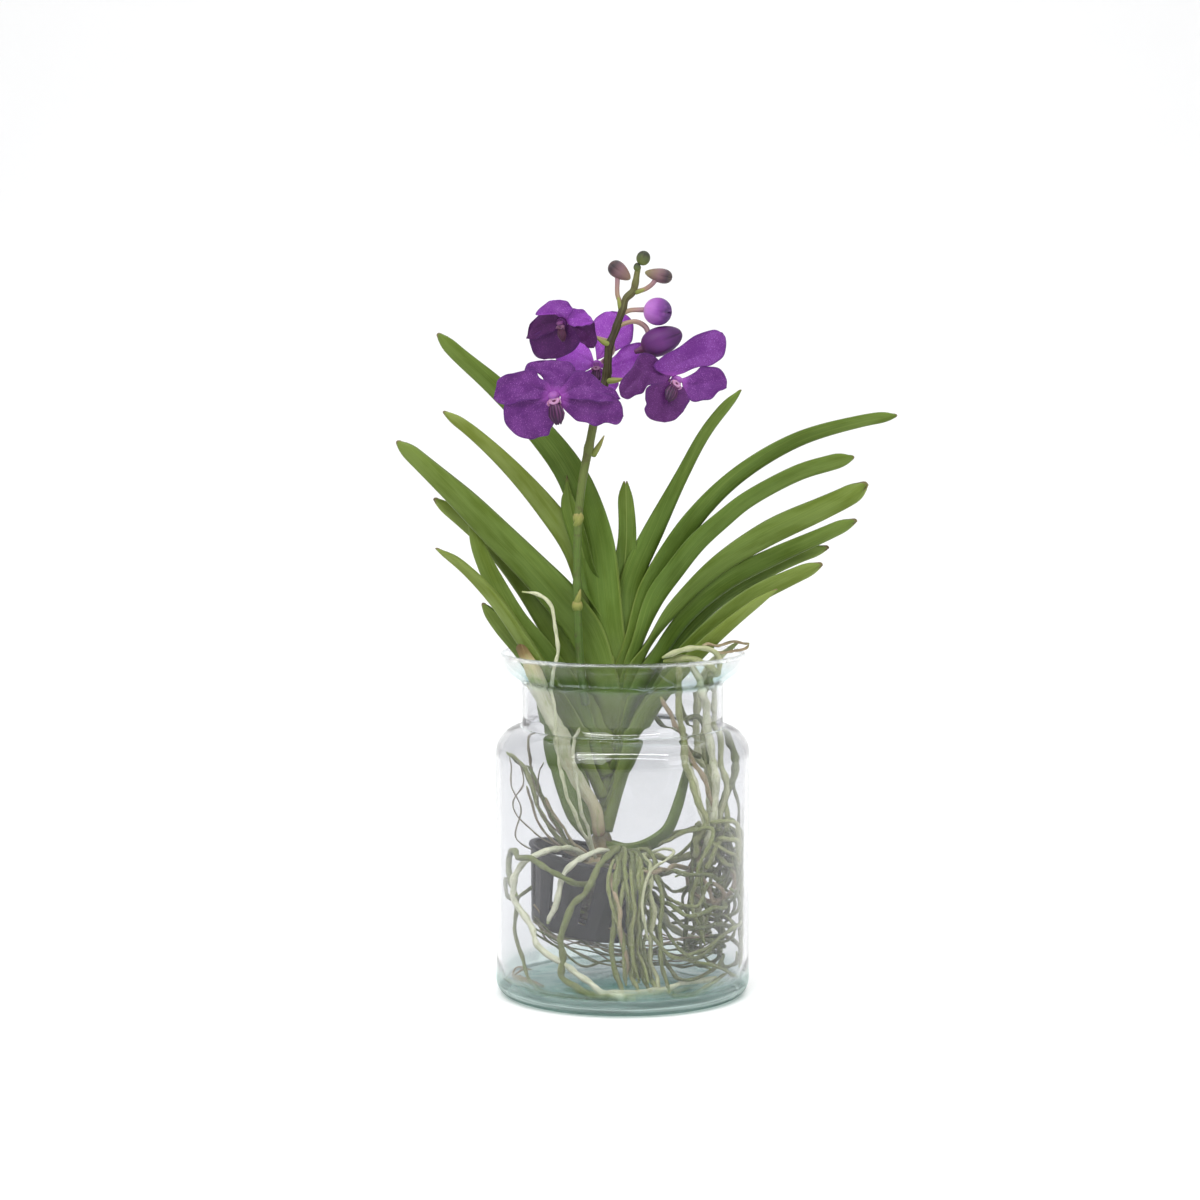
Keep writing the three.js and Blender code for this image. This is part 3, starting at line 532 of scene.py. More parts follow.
def bud_material(name, root, middle, tip, cap):
    """A bud's four colours from its foot up, with fine veins and painted shade in the furrows between its
    sepals.
    """
    s = Shade(name, roughness=0.55, Specular_IOR_Level=0.25, Subsurface_Weight=0.1, Subsurface_Scale=0.001)
    u, around, _ = s.parts(s.attribute("petal", "Vector"))
    flat = s.attribute("flat", "Vector")
    body = s.ramp(u, (0.0, root), (0.24, middle), (0.5, tip), (0.72, cap))
    veins = s.streaks(flat, 0.12, 1.4)
    body = s.mix(s.times(s.band(veins, 0.4, 0.7), 0.3), body, s.mix(0.5, body, colour(cap)))
    body = s.wash(body, s.band(s.streaks(flat, 0.2, 0.2, 2), 0.4, 0.7), 0.2, middle)
    # painted shade: darkens the furrows between the sepals towards the tip
    furrow_shade = s.times(s.near_zero(around, 0.13), s.band(u, 0.4, 0.75))
    body = s.mix(s.times(furrow_shade, 0.75), body, s.mix(1.0, body, colour("6A5A70"), "MULTIPLY"))
    return s.finish(body, veins, 0.2, 0.2)


def spike_material():
    """Olive stalk, browner towards its top; pedicels flush pink; bracts are dry yellow-green."""
    s = Shade("spike", roughness=0.5, Specular_IOR_Level=0.18)
    zone, height, _ = s.parts(s.attribute("spike", "Vector"))
    flat = s.attribute("flat", "Vector")
    stalk = s.ramp(height, (0.0, "48612A"), (0.35, "50662D"), (0.6, "626B3A"), (0.72, "302719"),
                   (0.88, "342B1E"), (1.0, "6A6A40"))
    fibres = s.streaks(flat, 0.05, 1.6, 4)
    stalk = s.wash(stalk, s.band(fibres, 0.4, 0.7), 0.25, "78804E")
    stalk = s.wash(stalk, s.band(s.noise(flat, 0.25, 2), 0.5, 0.75), 0.4, "4E3E33")
    pedicel = s.ramp(height, (0.0, "8C7F5C"), (0.4, "8E7660"), (1.0, "8A6676"))
    pedicel = s.wash(pedicel, s.band(fibres, 0.4, 0.7), 0.3, "C7AFA8")
    bract = s.ramp(height, (0.0, "727E3E"), (0.6, "86894A"), (1.0, "8C8650"))
    base = s.mix(s.band(zone, 0.2, 0.3), stalk, pedicel)
    base = s.mix(s.band(zone, 0.7, 0.8), base, bract)
    return s.finish(base, fibres, 0.3, 0.3)


def root_material():
    """Velamen: chalky grey-green with greener wet stretches; dry roots are grey-brown."""
    s = Shade("root", roughness=0.78, Specular_IOR_Level=0.25)
    tint, share, _ = s.parts(s.attribute("root", "Vector"))
    flat = s.attribute("flat", "Vector")
    chalk = s.ramp(tint, (0.0, "5F5B52"), (0.14, "7B6F5E"), (0.25, "A38F72"), (0.4, "474F2E"),
                   (0.55, "616A38"), (0.75, "868B58"), (0.9, "BCBE9C"), (1.0, "D6D6C0"))
    wet = s.streaks(flat, 0.12, 0.4, 4, 0.65)
    chalk = s.mix(s.times(s.band(wet, 0.45, 0.62), 0.7), chalk, s.mix(0.5, chalk, colour("6F7F3F")))
    dry = s.streaks(flat, 0.4, 0.9, 4, 0.75)
    chalk = s.mix(s.times(s.band(dry, 0.5, 0.72), 0.6), chalk, s.mix(0.65, chalk, colour("D8D3BC")))
    scar = s.near_zero(s.cells(s.scaled(flat, (0.2, 0.4, 1))), 0.22)
    chalk = s.wash(chalk, scar, 0.7, "5C4830")
    chalk = s.wash(chalk, s.band(share, 0.965, 1.0), 0.6, "8A9A48")
    return s.finish(chalk, s.maths("ADD", dry, wet), 0.7, 0.6)


def stub_material():
    """The cut stub: pale, fibrous and dry, brown where it was cut and at its scarred foot."""
    s = Shade("stub", roughness=0.75, Specular_IOR_Level=0.25)
    _, share, _ = s.parts(s.attribute("root", "Vector"))
    flat = s.attribute("flat", "Vector")
    body = s.ramp(share, (0.0, "7A5A3E"), (0.06, "B9AC8A"), (0.35, "C3C5A8"),
                  (0.75, "C5C7AC"), (0.92, "B8AC80"), (0.96, "7C6A42"), (1.0, "5E4A2E"))
    fibre = s.streaks(flat, 0.04, 1.5, 4, 0.7)
    body = s.wash(body, s.band(fibre, 0.45, 0.7), 0.45, "9E8A62")
    body = s.wash(body, s.band(s.streaks(flat, 0.09, 0.3), 0.5, 0.7), 0.6, "8C9A5E")
    return s.finish(body, fibre, 0.5, 0.5)


def stem_material():
    """A fibrous green stem that turns to brown old wood at its foot."""
    s = Shade("stem", roughness=0.6, Specular_IOR_Level=0.3)
    place = s.place()
    cloud = s.noise(place, 60, 4)
    fibre = s.noise(s.scaled(place, (900, 900, 30)), 1.0, 3)
    body = s.mix(s.band(cloud, 0.35, 0.7), colour("66783A"), colour("7E8A4A"))
    body = s.wash(body, s.band(fibre, 0.4, 0.7), 0.5, "54602E")
    uneven_height = s.maths("MULTIPLY_ADD", cloud, 0.02, s.parts(place)[2])
    old_wood = s.mix(s.band(cloud, 0.35, 0.65), colour("5C4A30"), colour("8A7A54"))
    body = s.mix(s.below(uneven_height, 0.118, 0.136), body, old_wood)
    return s.finish(body, fibre, 0.4, 0.4)


def basket_material():
    """Moulded near-black plastic with a purple cast, dusty where roots have rubbed it."""
    s = Shade("basket", roughness=0.45, Specular_IOR_Level=0.45)
    place = s.place()
    dust = s.noise(place, 55, 5, 0.65)
    body = s.wash(colour("13121B"), s.band(dust, 0.42, 0.72), 0.5, "2F2D3A")
    grain = s.noise(place, 1400, 2)
    return s.finish(body, grain, 0.15, 0.1, Roughness=s.maths("MULTIPLY_ADD", dust, 0.4, 0.3))


GLASS_CLEAR = (0.78, 0.787, 0.804, 1)
GLASS_FOOT = (0.78, 0.88, 0.86, 1)
GLASS_TEAL = (0.24, 0.58, 0.5, 1)
GLASS_DEEP_TEAL = (0.03, 0.28, 0.2, 1)


def glass_tint(s, z, reach, lip, sole):
    """The colour that the glass gives to what is seen through it, and a painted grey shade where the walls
    are seen edge-on.
    """
    tint = s.mix(s.band(z, 0.0, 0.02), GLASS_FOOT, GLASS_CLEAR)
    floor = s.times(s.below(z, 0.0155, 0.0175), s.below(reach, 0.066, 0.088))
    patches = s.band(s.streaks(s.place(), 30, 70, 3, 0.6), 0.42, 0.6)
    tint = s.mix(floor, tint, s.mix(patches, GLASS_TEAL, GLASS_DEEP_TEAL))
    tint = s.mix(lip, tint, (0.74, 0.88, 0.88, 1))
    tint = s.mix(sole, tint, (0.18, 0.27, 0.24, 1))
    # painted shade: greys the glass where it is seen at a grazing angle, standing in for the edges'
    # reflections
    painted_edge_shade = s.times(s.band(s.node("LayerWeight").outputs["Facing"], 0.82, 0.93), 0.35)
    return s.mix(painted_edge_shade, tint, (0.5, 0.54, 0.54, 1))


def glass_material():
    """Clear glass, faintly lilac, with the teal that thick glass shows in the foot and the neck's bend.

    Light that casts shadows, and some of the light at the flare and the heel, goes straight through."""
    s = Shade("glass", roughness=0.0, Transmission_Weight=1.0, IOR=1.5)
    x, y, z = s.parts(s.place())
    reach = s.maths("SQRT", s.maths("ADD", s.times(x, x), s.times(y, y)))
    lip = s.times(s.band(z, 0.224, 0.23), s.below(z, 0.232, 0.24))
    outside = s.band(reach, 0.08, 0.088)
    sole = s.times(s.below(z, 0.003, 0.0055), outside)
    s.set(Base_Color=glass_tint(s, z, reach, lip, sole))
    s.bump(s.noise(s.scaled(s.place(), (14, 14, 5)), 1.0, 1), 0.04, 2.0)

    edge = s.maths("SUBTRACT", 1.0, s.times(s.band(z, 0.2455, 0.248), 0.6))
    flare = s.times(s.times(s.band(z, 0.226, 0.233), 0.9), edge)
    heel = s.times(s.maths("SUBTRACT", 0.6, s.times(s.band(z, 0.014, 0.024), 0.6)), outside)
    straight_tint = s.mix(heel, (0.95, 0.96, 0.96, 1), (0.6, 0.74, 0.7, 1))
    straight_tint = s.mix(lip, straight_tint, (0.86, 0.93, 0.93, 1))
    straight_tint = s.mix(sole, straight_tint, (0.2, 0.3, 0.27, 1))
    clear = s.node("BsdfTransparent")
    s.wire(clear.inputs["Color"], straight_tint)
    shadow = s.node("LightPath").outputs["Is Shadow Ray"]
    both = s.node("MixShader")
    s.wire(both.inputs[0], s.maths("MAXIMUM", shadow, s.maths("MAXIMUM", flare, heel)))
    s.wire(both.inputs[1], s.shader.outputs[0])
    s.wire(both.inputs[2], clear.outputs[0])
    s.wire(s.tree.nodes["Material Output"].inputs["Surface"], both.outputs[0])
    return s.material


# ------------------------------------------------------------------ vase
GLASS = 3.5
BODY_RADIUS = 92.5
NECK_RADIUS = 73
RIM_RADIUS = 90
VASE_HEIGHT = 250
SHOULDER_HEIGHT = 176
BASE_THICKNESS = 9
BASE_DOME = 16
SOLE_RADIUS = 84
NECK_LOW, NECK_HIGH = 196, 226
FLARE_END = (88.5, 247)
LIP_ROUND = 2.8
VASE_SIDES = 144


def bend(*controls, steps=12):
    """Points of a Bezier curve after its first, which the profile already holds."""
    out = []
    for i in range(1, steps + 1):
        pts = [np.array(c, float) for c in controls]
        while len(pts) > 1:
            pts = [lerp(a, b, i / steps) for a, b in zip(pts, pts[1:])]
        out.append(tuple(pts[0]))
    return out


def straight(a, b, steps):
    return [tuple(lerp(np.array(a, float), np.array(b, float), i / steps)) for i in range(1, steps + 1)]


def vase_profile():
    """Radius and height from the middle of the underside, over the lip, to the middle of the floor inside."""
    inner, neck = BODY_RADIUS - GLASS, NECK_RADIUS - GLASS
    lip_inside = (RIM_RADIUS - LIP_ROUND, VASE_HEIGHT)
    profile = [(0.0, 0.0)]
    profile += straight((0, 0), (SOLE_RADIUS, 0), 4)
    profile += bend((SOLE_RADIUS, 0), (91.5, 2), (BODY_RADIUS, 10))
    profile += straight((BODY_RADIUS, 10), (BODY_RADIUS, SHOULDER_HEIGHT), 12)
    neck_foot = (NECK_RADIUS, NECK_LOW)
    profile += bend((BODY_RADIUS, SHOULDER_HEIGHT), (BODY_RADIUS, 187), (84, NECK_LOW), neck_foot)
    profile += straight(neck_foot, (NECK_RADIUS, NECK_HIGH), 4)
    profile += bend((NECK_RADIUS, NECK_HIGH), (74, 233), (86, 232), FLARE_END)
    profile += bend(FLARE_END, (RIM_RADIUS, VASE_HEIGHT), lip_inside, steps=6)
    profile += bend(lip_inside, (84, 235), (71.5, 236), (neck, 227))
    profile += straight((neck, 227), (neck, 193), 4)
    profile += bend((neck, 193), (80, 193), (inner, 184), (inner, SHOULDER_HEIGHT - 2))
    profile += straight((inner, SHOULDER_HEIGHT - 2), (inner, 16), 12)
    profile += bend((inner, 16), (87, BASE_THICKNESS), (78, BASE_THICKNESS))
    profile += bend((78, BASE_THICKNESS), (50, BASE_THICKNESS), (40, BASE_DOME), (0, BASE_DOME))
    return profile


def vase():
    ring = vase_profile()[1:-1]
    turn = np.linspace(0, 2 * np.pi, VASE_SIDES, endpoint=False)
    points = [(r * math.cos(a), r * math.sin(a), z) for r, z in ring for a in turn]
    points += [(0, 0, 0), (0, 0, BASE_DOME)]
    faces = grid_faces(len(ring), VASE_SIDES, wrap=True)
    low, high = len(points) - 2, len(points) - 1
    last = (len(ring) - 1) * VASE_SIDES
    for j in range(VASE_SIDES):
        k = (j + 1) % VASE_SIDES
        faces.append((low, k, j))
        faces.append((high, last + j, last + k))
    skin = Skin()
    skin.add(points, faces)
    skin.piece("glass_vase", glass_material(), "clear_glass", "vase")


# ------------------------------------------------------------------ basket
BASKET_TOP_RADIUS = 47
BASKET_BOTTOM_RADIUS = 35
BASKET_HEIGHT = 57
BASKET_WALL = 1.6
BASKET_SLOTS = 10
BASKET_MOUTH = np.array((-20, 0, 101))
BASKET_TILT = math.radians(12)
BASKET_RIB = 0.7
BASKET_FLOOR = 0.8  # height of the bottom's middle surface
FLOOR_RINGS = (33.4, 26, 15, 6)
SLOTTED_RING = 1
SLOT_LOW, SLOT_HIGH = 11, 45
SLOT_HALF_ANGLE = 3.2 / 41  # half its width over the wall's middle radius
SLOT_STEPS = 4
WALL_HEIGHTS = (BASKET_FLOOR, 4, SLOT_LOW, 20, 28, 36, SLOT_HIGH, 50, 54.6)
RIM_DEPTH = 2.4
RIM_SIDES = 120
RIM_SECTION = [(-1.6, 54.4), (1.8, 54.4), (2.2, 54.8), (2.2, 56.6), (1.8, 57), (-1.2, 57), (-1.6, 56.6)]


def pot_turns():
    """Angles round the pot, with a slot in the middle of each sector, and how many a sector has."""
    sector = 2 * math.pi / BASKET_SLOTS
    low, high = sector / 2 - SLOT_HALF_ANGLE, sector / 2 + SLOT_HALF_ANGLE
    steps = SLOT_STEPS + 1
    cuts = np.concatenate([np.linspace(0, low, steps), np.linspace(low, high, steps)[1:],
                           np.linspace(high, sector, steps)[1:-1]])
    return np.concatenate([cuts + i * sector for i in range(BASKET_SLOTS)]), len(cuts)


def in_slot(j, per):
    return SLOT_STEPS <= j % per < 2 * SLOT_STEPS


def circle(radius, turns, height):
    return np.stack([radius * np.cos(turns), radius * np.sin(turns), np.full(len(turns), height)], 1)


def pot_wall(turns, per):
    """The ribbed side, open at its slots."""
    count = len(turns)
    rib = np.where(np.arange(count) % per == 0, BASKET_RIB, 0.0)
    rows, faces = [], []
    for z in WALL_HEIGHTS:
        side = lerp(BASKET_BOTTOM_RADIUS, BASKET_TOP_RADIUS, z / (BASKET_HEIGHT - RIM_DEPTH))
        rows.append(circle(side + rib - BASKET_WALL / 2, turns, z))
    for i, z in enumerate(WALL_HEIGHTS[:-1]):
        for j in range(count):
            if in_slot(j, per) and SLOT_LOW <= z < SLOT_HIGH:
                continue
            k = (j + 1) % count
            faces.append((i * count + j, i * count + k, (i + 1) * count + k, (i + 1) * count + j))
    return np.vstack(rows), faces


def pot_floor(turns, per, start):
    """The bottom: rings that narrow to a hub, one of them slotted. start is its first point's number."""
    count = len(turns)
    faces = []
    for j in range(count):
        k = (j + 1) % count
        faces.append((j, start + j, start + k, k))
    for i in range(len(FLOOR_RINGS) - 1):
        a = start + i * count
        for j in range(count):
            if i == SLOTTED_RING and in_slot(j, per):
                continue
            k = (j + 1) % count
            faces.append((a + j, a + count + j, a + count + k, a + k))
    hub = start + len(FLOOR_RINGS) * count
    last = hub - count
    faces += [(last + j, hub, last + (j + 1) % count) for j in range(count)]
    rings = [circle(r, turns, BASKET_FLOOR) for r in FLOOR_RINGS]
    return np.vstack([*rings, [(0, 0, BASKET_FLOOR)]]), faces


def pot_rim():
    """The turned-out rim, a closed ring."""
    fine = np.linspace(0, 2 * np.pi, RIM_SIDES, endpoint=False)
    loops = [circle(BASKET_TOP_RADIUS + out, fine, z) for out, z in RIM_SECTION]
    faces = []
    for i in range(len(RIM_SECTION)):
        here, there = i * RIM_SIDES, (i + 1) % len(RIM_SECTION) * RIM_SIDES
        for j in range(RIM_SIDES):
            k = (j + 1) % RIM_SIDES
            faces.append((here + j, here + k, there + k, there + j))
    return np.vstack(loops), faces


def basket():
    """A net pot: ribbed, slotted wall, a slotted bottom and a turned-out rim."""
    turns, per = pot_turns()
    wall_points, wall_faces = pot_wall(turns, per)
    floor_points, floor_faces = pot_floor(turns, per, len(wall_points))
    skin = Skin()
    skin.add(placed_in_basket(np.vstack([wall_points, floor_points])), wall_faces + floor_faces)
    wall = skin.piece("net_pot", basket_material(), "basket_plastic", "basket")
    solid = wall.modifiers.new("wall", "SOLIDIFY")
    solid.thickness = BASKET_WALL * MM
    solid.offset = 0
    soft = wall.modifiers.new("edges", "BEVEL")
    soft.width = 0.35 * MM
    soft.segments = 2
    rim_points, rim_faces = pot_rim()
    rim = Skin()
    rim.add(placed_in_basket(rim_points), rim_faces)
    rim.piece("net_pot_rim", wall.data.materials[0], "basket_plastic")


def placed_in_basket(points):
    p = np.asarray(points, float) - (0, 0, BASKET_HEIGHT)
    c, s = math.cos(BASKET_TILT), math.sin(BASKET_TILT)
    return np.stack([c * p[:, 0] + s * p[:, 2], p[:, 1], -s * p[:, 0] + c * p[:, 2]], 1) + BASKET_MOUTH


# ------------------------------------------------------------------ leafy stem and leaves
STEM_BASE = np.array((-17.0, 0, 101))
STEM_TOP = np.array((-2.0, 0, 246))
STEM_RADIUS = 4.4
STEM_TOP_RADIUS = 4.1
STEM_FOOT_SWELL = 2.9
STEM_SIDES = 28
SHEATH_RADIUS = 5.5
SHEATH_GROWTH = 0.17
KEEL_RADIUS = 2.2
BLADE_THICKNESS = 1.3
LEAF_ROWS, LEAF_COLUMNS = 96, 31
ROUND_TIP, POINTED_TIP = 15, 30  # over how much of its length a leaf closes
NOTCH_REACH = 34  # over how much of it the end's lobes and teeth draw the blade out

# name, side, wing's width at four stations from foot to tip, half angle of the fold at foot, middle and tip,
# roll, tip (-1 pointed, 0 round, 1 toothed), paleness, points on the keel
LEAVES = [
    ("leaf_centre", -1, (7, 9, 7, 5), (10, 62, 76), 78, 0.0, 0.0,
     [(-7.6, 0, 241), (-1.5, 3, 290), (2.5, 3, 330), (2, 2, 374)]),
    ("leaf_left_8", -1, (6, 8, 8.5, 6), (10, 60, 70), 112, -1.0, 0.0,
     [(-8.5, 0, 240), (-14, -1, 270), (-23, -1, 300), (-31, 0, 331), (-38, 1, 356), (-40.5, 1, 378)]),
    ("leaf_right_1", 1, (15, 17.5, 10.5, 8), (6, 15, 26), -5, -0.4, 0.0,
     [(1.5, 0, 232), (7, 0, 262), (14, 5, 300), (29, 9, 335), (48, 11, 378), (64, 12, 408), (88, 12, 439)]),
    ("leaf_left_1", -1, (27, 28, 19.5, 11.5), (5, 17, 33), -5, 0.3, 0.0,
     [(-10.5, 0, 222), (-19, 0, 252), (-28, 2, 305), (-45, 5, 370), (-69, 7, 406), (-97, 8, 437),
      (-126, 8, 465), (-137, 8, 478)]),
    ("leaf_right_2", 1, (18, 17, 13, 9.5), (5, 27, 32), -5, 0.0, 0.0,
     [(0.5, 0, 214), (8, 0, 245), (19, 1, 276), (33, 2, 305), (57, 3, 343), (86, 4, 373), (128, 5, 399),
      (172, 5, 413), (199, 5, 418)]),
    ("leaf_left_2", -1, (19, 21, 15.5, 8.5), (5, 20, 35), -5, 0.3, 0.7,
     [(-12, 0, 206), (-22, 1, 248), (-31, 4, 286), (-42, 7, 320), (-61, 9, 349), (-86, 10, 380),
      (-111, 10, 405), (-132, 10, 422)]),
    ("leaf_right_3", 1, (15, 16, 14, 12.5), (5, 24, 29), -5, 0.0, 0.0,
     [(-0.5, 0, 198), (7, 0, 230), (15, -1, 258), (28, -2, 285), (43, -3, 306), (58, -3, 325),
      (76, -4, 342), (93, -4, 356), (128, -5, 375), (150, -5, 382), (168, -5, 387)]),
    ("leaf_left_3", -1, (25, 28, 22.5, 12), (5, 26, 30), 0, 0.2, 0.15,
     [(-13.5, 0, 190), (-25, -1, 228), (-38, -3, 258), (-57, -4, 284), (-79, -5, 309), (-103, -6, 334),
      (-126, -6, 359), (-154, -6, 388), (-166, -6, 400)]),
    ("leaf_right_4", 1, (10, 10.5, 20, 16), (5, 26, 22), -5, 0.8, 0.2,
     [(-1.5, 0, 182), (8, 0, 220), (19, 1, 252), (42, 2, 280), (71, 3, 306), (107, 4, 327), (148, 4, 347),
      (170, 4, 359), (181, 4, 368)]),
    ("leaf_left_4", -1, (15, 17, 13, 10.5), (5, 21, 31), -5, 0.6, 0.3,
     [(-15, 0, 174), (-29, 2, 208), (-43, 6, 236), (-60, 10, 264), (-77, 14, 292), (-98, 16, 320),
      (-119, 17, 340), (-140, 17, 358)]),
    ("leaf_right_5", 1, (12, 12, 15.5, 11), (5, 25, 29), -5, 0.8, 0.0,
     [(-2.5, 0, 166), (6, 0, 196), (16, 2, 222), (32, 5, 248), (50, 7, 272), (78, 8, 295), (114, 9, 314),
      (150, 9, 331), (172, 9, 342)]),
    ("leaf_left_5", -1, (15, 17.5, 17, 10), (5, 21, 29), -5, -1.0, 0.15,
     [(-16.5, 0, 158), (-30, 0, 190), (-45, 0, 218), (-64, 0, 246), (-85, 0, 271), (-100, 0, 300),
      (-110, 0, 328), (-113, 0, 348)]),
    ("leaf_right_6", 1, (10, 10, 13, 10), (5, 25, 28), -5, 0.8, 0.0,
     [(-3.5, 0, 150), (5, 1, 182), (19, 6, 212), (40, 12, 248), (70, 16, 280), (100, 18, 299),
      (128, 18, 313), (152, 18, 322)]),
    ("leaf_left_6", -1, (12, 14, 13, 8), (5, 44, 46), 0, -0.4, 0.5,
     [(-18, 0, 142), (-31, -3, 174), (-45, -8, 204), (-60, -14, 232), (-79, -20, 263), (-97, -22, 289),
      (-118, -23, 312), (-136, -23, 326)]),
    ("leaf_right_7", 1, (13, 13, 16, 12), (5, 25, 28), -5, 0.7, 0.3,
     [(-5, 0, 134), (4, 0, 164), (15, 0, 192), (30, -2, 217), (50, -4, 245), (72, -6, 266), (100, -7, 287),
      (122, -8, 299), (146, -8, 311)]),
    ("leaf_left_7", -1, (24, 26, 16, 11), (12, 26, 40), 0, 0.2, 0.1,
     [(-27, 2, 112), (-39, 3, 126), (-47, 3, 146), (-53, 4, 168), (-58, 4, 190), (-62, 5, 207),
      (-64.5, 5, 224), (-76, 5, 244), (-92, 5, 264), (-105, 5, 283)]),
    ("leaf_right_8", 1, (13, 13.5, 12, 7), (5, 21, 31), -5, -0.6, 0.5,
     [(-8, 0, 118), (0, -1, 148), (9, -4, 176), (20, -9, 198), (35, -15, 222), (56, -20, 246),
      (77, -22, 267), (96, -24, 284), (112, -25, 297)]),
    ("leaf_old", 1, (9, 10, 8.5, 6), (8, 34, 44), 0, -0.5, 0.2,
     [(-11.5, 0, 106), (4, -6, 103), (20, -14, 107), (34, -20, 119), (42, -22, 138), (47, -23, 160),
      (51, -24, 184)]),
]


def stem_x(z):
    return lerp(STEM_BASE[0], STEM_TOP[0], (z - STEM_BASE[2]) / (STEM_TOP[2] - STEM_BASE[2]))


def leaf_hold(side, at, foot):
    """How free the leaf is of the stem (0 to 1), and the radius of the sheath that clasps it lower down."""
    free = smooth(np.abs(at[:, 0] - stem_x(at[:, 2])), 9, 40)
    if side > 0:
        free = np.maximum(free, smooth(at[:, 2], 244, 296))
    return free, SHEATH_RADIUS + SHEATH_GROWTH * np.maximum(at[:, 2] - foot, 0)


def wing_width(t, widths, phase):
    """Half the strap's width along the leaf, from its four stations, with a slight ripple."""
    stations = through([(60 * share, wide, 0) for share, wide in zip((0, 0.35, 0.7, 1), widths)])
    ripple = 1 + 0.02 * np.sin(17 * t + phase) * smooth(t, 0.2, 0.5)
    return np.interp(60 * t, stations[:, 0], stations[:, 1]) * ripple


def end_shape(c, point, teeth):
    """How far the leaf's end runs past its keel's end: two lobes or a point, and uneven teeth."""
    edge = np.abs(c)
    lobe = lerp(-14 * (edge - 0.5) ** 2 - 2.5 * edge ** 4, -12 * edge ** 1.5, point)
    tooth = np.exp(-((c - 0.14) / 0.16) ** 2)
    notch = np.exp(-((c + 0.16) / 0.1) ** 2)
    return lobe + teeth * (1.5 * tooth - 4.0 * notch - 2.0 * (c < 0.0))


def folded(c, wing, radius, angle, t):
    """The strap's section, out and up from its keel: a round keel, then two straight wings."""
    bow = radius * (np.pi / 2 - angle)
    reach = np.abs(c)[None] * wing[:, None]
    turned = np.minimum(reach, bow[:, None]) / radius[:, None]
    past = np.maximum(reach - bow[:, None], 0)
    out = np.sign(c)[None] * (radius[:, None] * np.sin(turned) + past * np.sin(angle)[:, None])
    up = radius[:, None] * (1 - np.cos(turned)) + past * np.cos(angle)[:, None]
    cupped = np.sign(c)[None] * 0.012 * past ** 2 * smooth(t, 0.3, 0.6)[:, None]
    return out - cupped, up, reach


def leaf(side, widths, fold, roll, cut, keel, seed, pale):
    """Middle surface of a strap folded along its keel, with its thickness and texture values."""
    at, tangent, length = even(through(keel), LEAF_ROWS)
    t = np.linspace(0, 1, LEAF_ROWS + 1)
    spread = np.linspace(-1, 1, LEAF_COLUMNS)
    c = np.sign(spread) * np.abs(spread) ** 1.35  # finer near the keel
    across = unit(np.array((0, 1.0, 0)) - tangent * tangent[:, 1:2])
    inward = np.cross(across, tangent) * -side
    draw = random.Random(seed)
    ripple_phase, flutter_phase = draw.uniform(0, 6.3), draw.uniform(0, 6.3)
    point, teeth = max(-cut, 0), max(cut, 0)

    free, clasp = leaf_hold(side, at, keel[0][2])
    radius = lerp(clasp, KEEL_RADIUS, free)
    foot_fold, middle_fold, tip_fold = fold
    half = np.where(t < 0.5, lerp(foot_fold, middle_fold, smooth(t, 0.1, 0.5)),
                    lerp(middle_fold, tip_fold, 2 * t - 1))
    wing = wing_width(t, widths, ripple_phase)
    wraps = (1 - free) * (1 - smooth(at[:, 2], 232, 258))  # the sheath wraps the stem, below its top only
    wing = lerp(wing, np.maximum((1.45 if side < 0 else 1.3) * clasp, wing), wraps)
    out, up, reach = folded(c, wing, radius, np.radians(half), t)

    last = np.clip(1 - (1 - t) * length / lerp(ROUND_TIP, POINTED_TIP, point), 0, 1)
    close = lerp(np.sqrt(1 - (0.9 * last) ** 2), 1 - 0.8 * last ** 2, point)
    centre_line = lerp(0.5, 0.3, point) * up.max(axis=1)[:, None]
    out = out * close[:, None]
    up = centre_line + (up - centre_line) * close[:, None]
    drawn_out = lerp(0.4, 1, widths[3] / max(widths))
    near_end = (1 - np.sqrt(1 - smooth(t, 1 - NOTCH_REACH / length, 1) ** 2))[:, None]
    shift = end_shape(c, point, teeth)[None] * drawn_out * near_end
    waves = np.sin(13 * t + flutter_phase)[:, None]
    flutter = 0.5 * np.abs(c)[None] ** 2 * waves * smooth(t, 0.25, 0.6)[:, None]

    twist = np.radians(roll * smooth(t, 0.15, 0.55))
    co, si = np.cos(twist)[:, None], np.sin(twist)[:, None]
    aside, inwards = (out + flutter) * co - up * si, (out + flutter) * si + up * co
    middle = (at[:, None] + across[:, None] * aside[..., None] + inward[:, None] * inwards[..., None]
              + tangent[:, None] * shift[..., None])
    thickness = BLADE_THICKNESS * (1.05 - 0.6 * smooth(np.abs(c), 0.7, 1))[None] * np.ones((LEAF_ROWS + 1, 1))
    thickness = thickness * (1 - 0.5 * smooth(t, 0.96, 1))[:, None]
    grid_t, grid_c = np.repeat(t, LEAF_COLUMNS), np.tile(c, LEAF_ROWS + 1)
    values = np.stack([grid_t, grid_c, np.full(len(grid_t), pale)], 1)
    to_tip = np.repeat(length * (1 - t), LEAF_COLUMNS)
    flat = np.stack([to_tip, (reach * np.sign(c)[None]).ravel(), np.full(len(grid_t), seed * 7.3)], 1)
    return middle, thickness, np.vstack([values] * 2), np.vstack([flat] * 2)


def leaves():
    material = leaf_material()
    for seed, (name, side, widths, fold, roll, cut, pale, keel) in enumerate(LEAVES):
        middle, thickness, values, flat = leaf(side, widths, fold, roll, cut, keel, seed, pale)
        points, faces = sheet(middle, thickness)
        skin = Skin()
        skin.add(points, faces, leaf=values, flat=flat)
        skin.piece(name + "_blade", material, "leaf_green", name)


def flat_values(along, turn, radius, seed):
    return np.stack([along, turn * radius, np.full(len(along), seed)], 1)


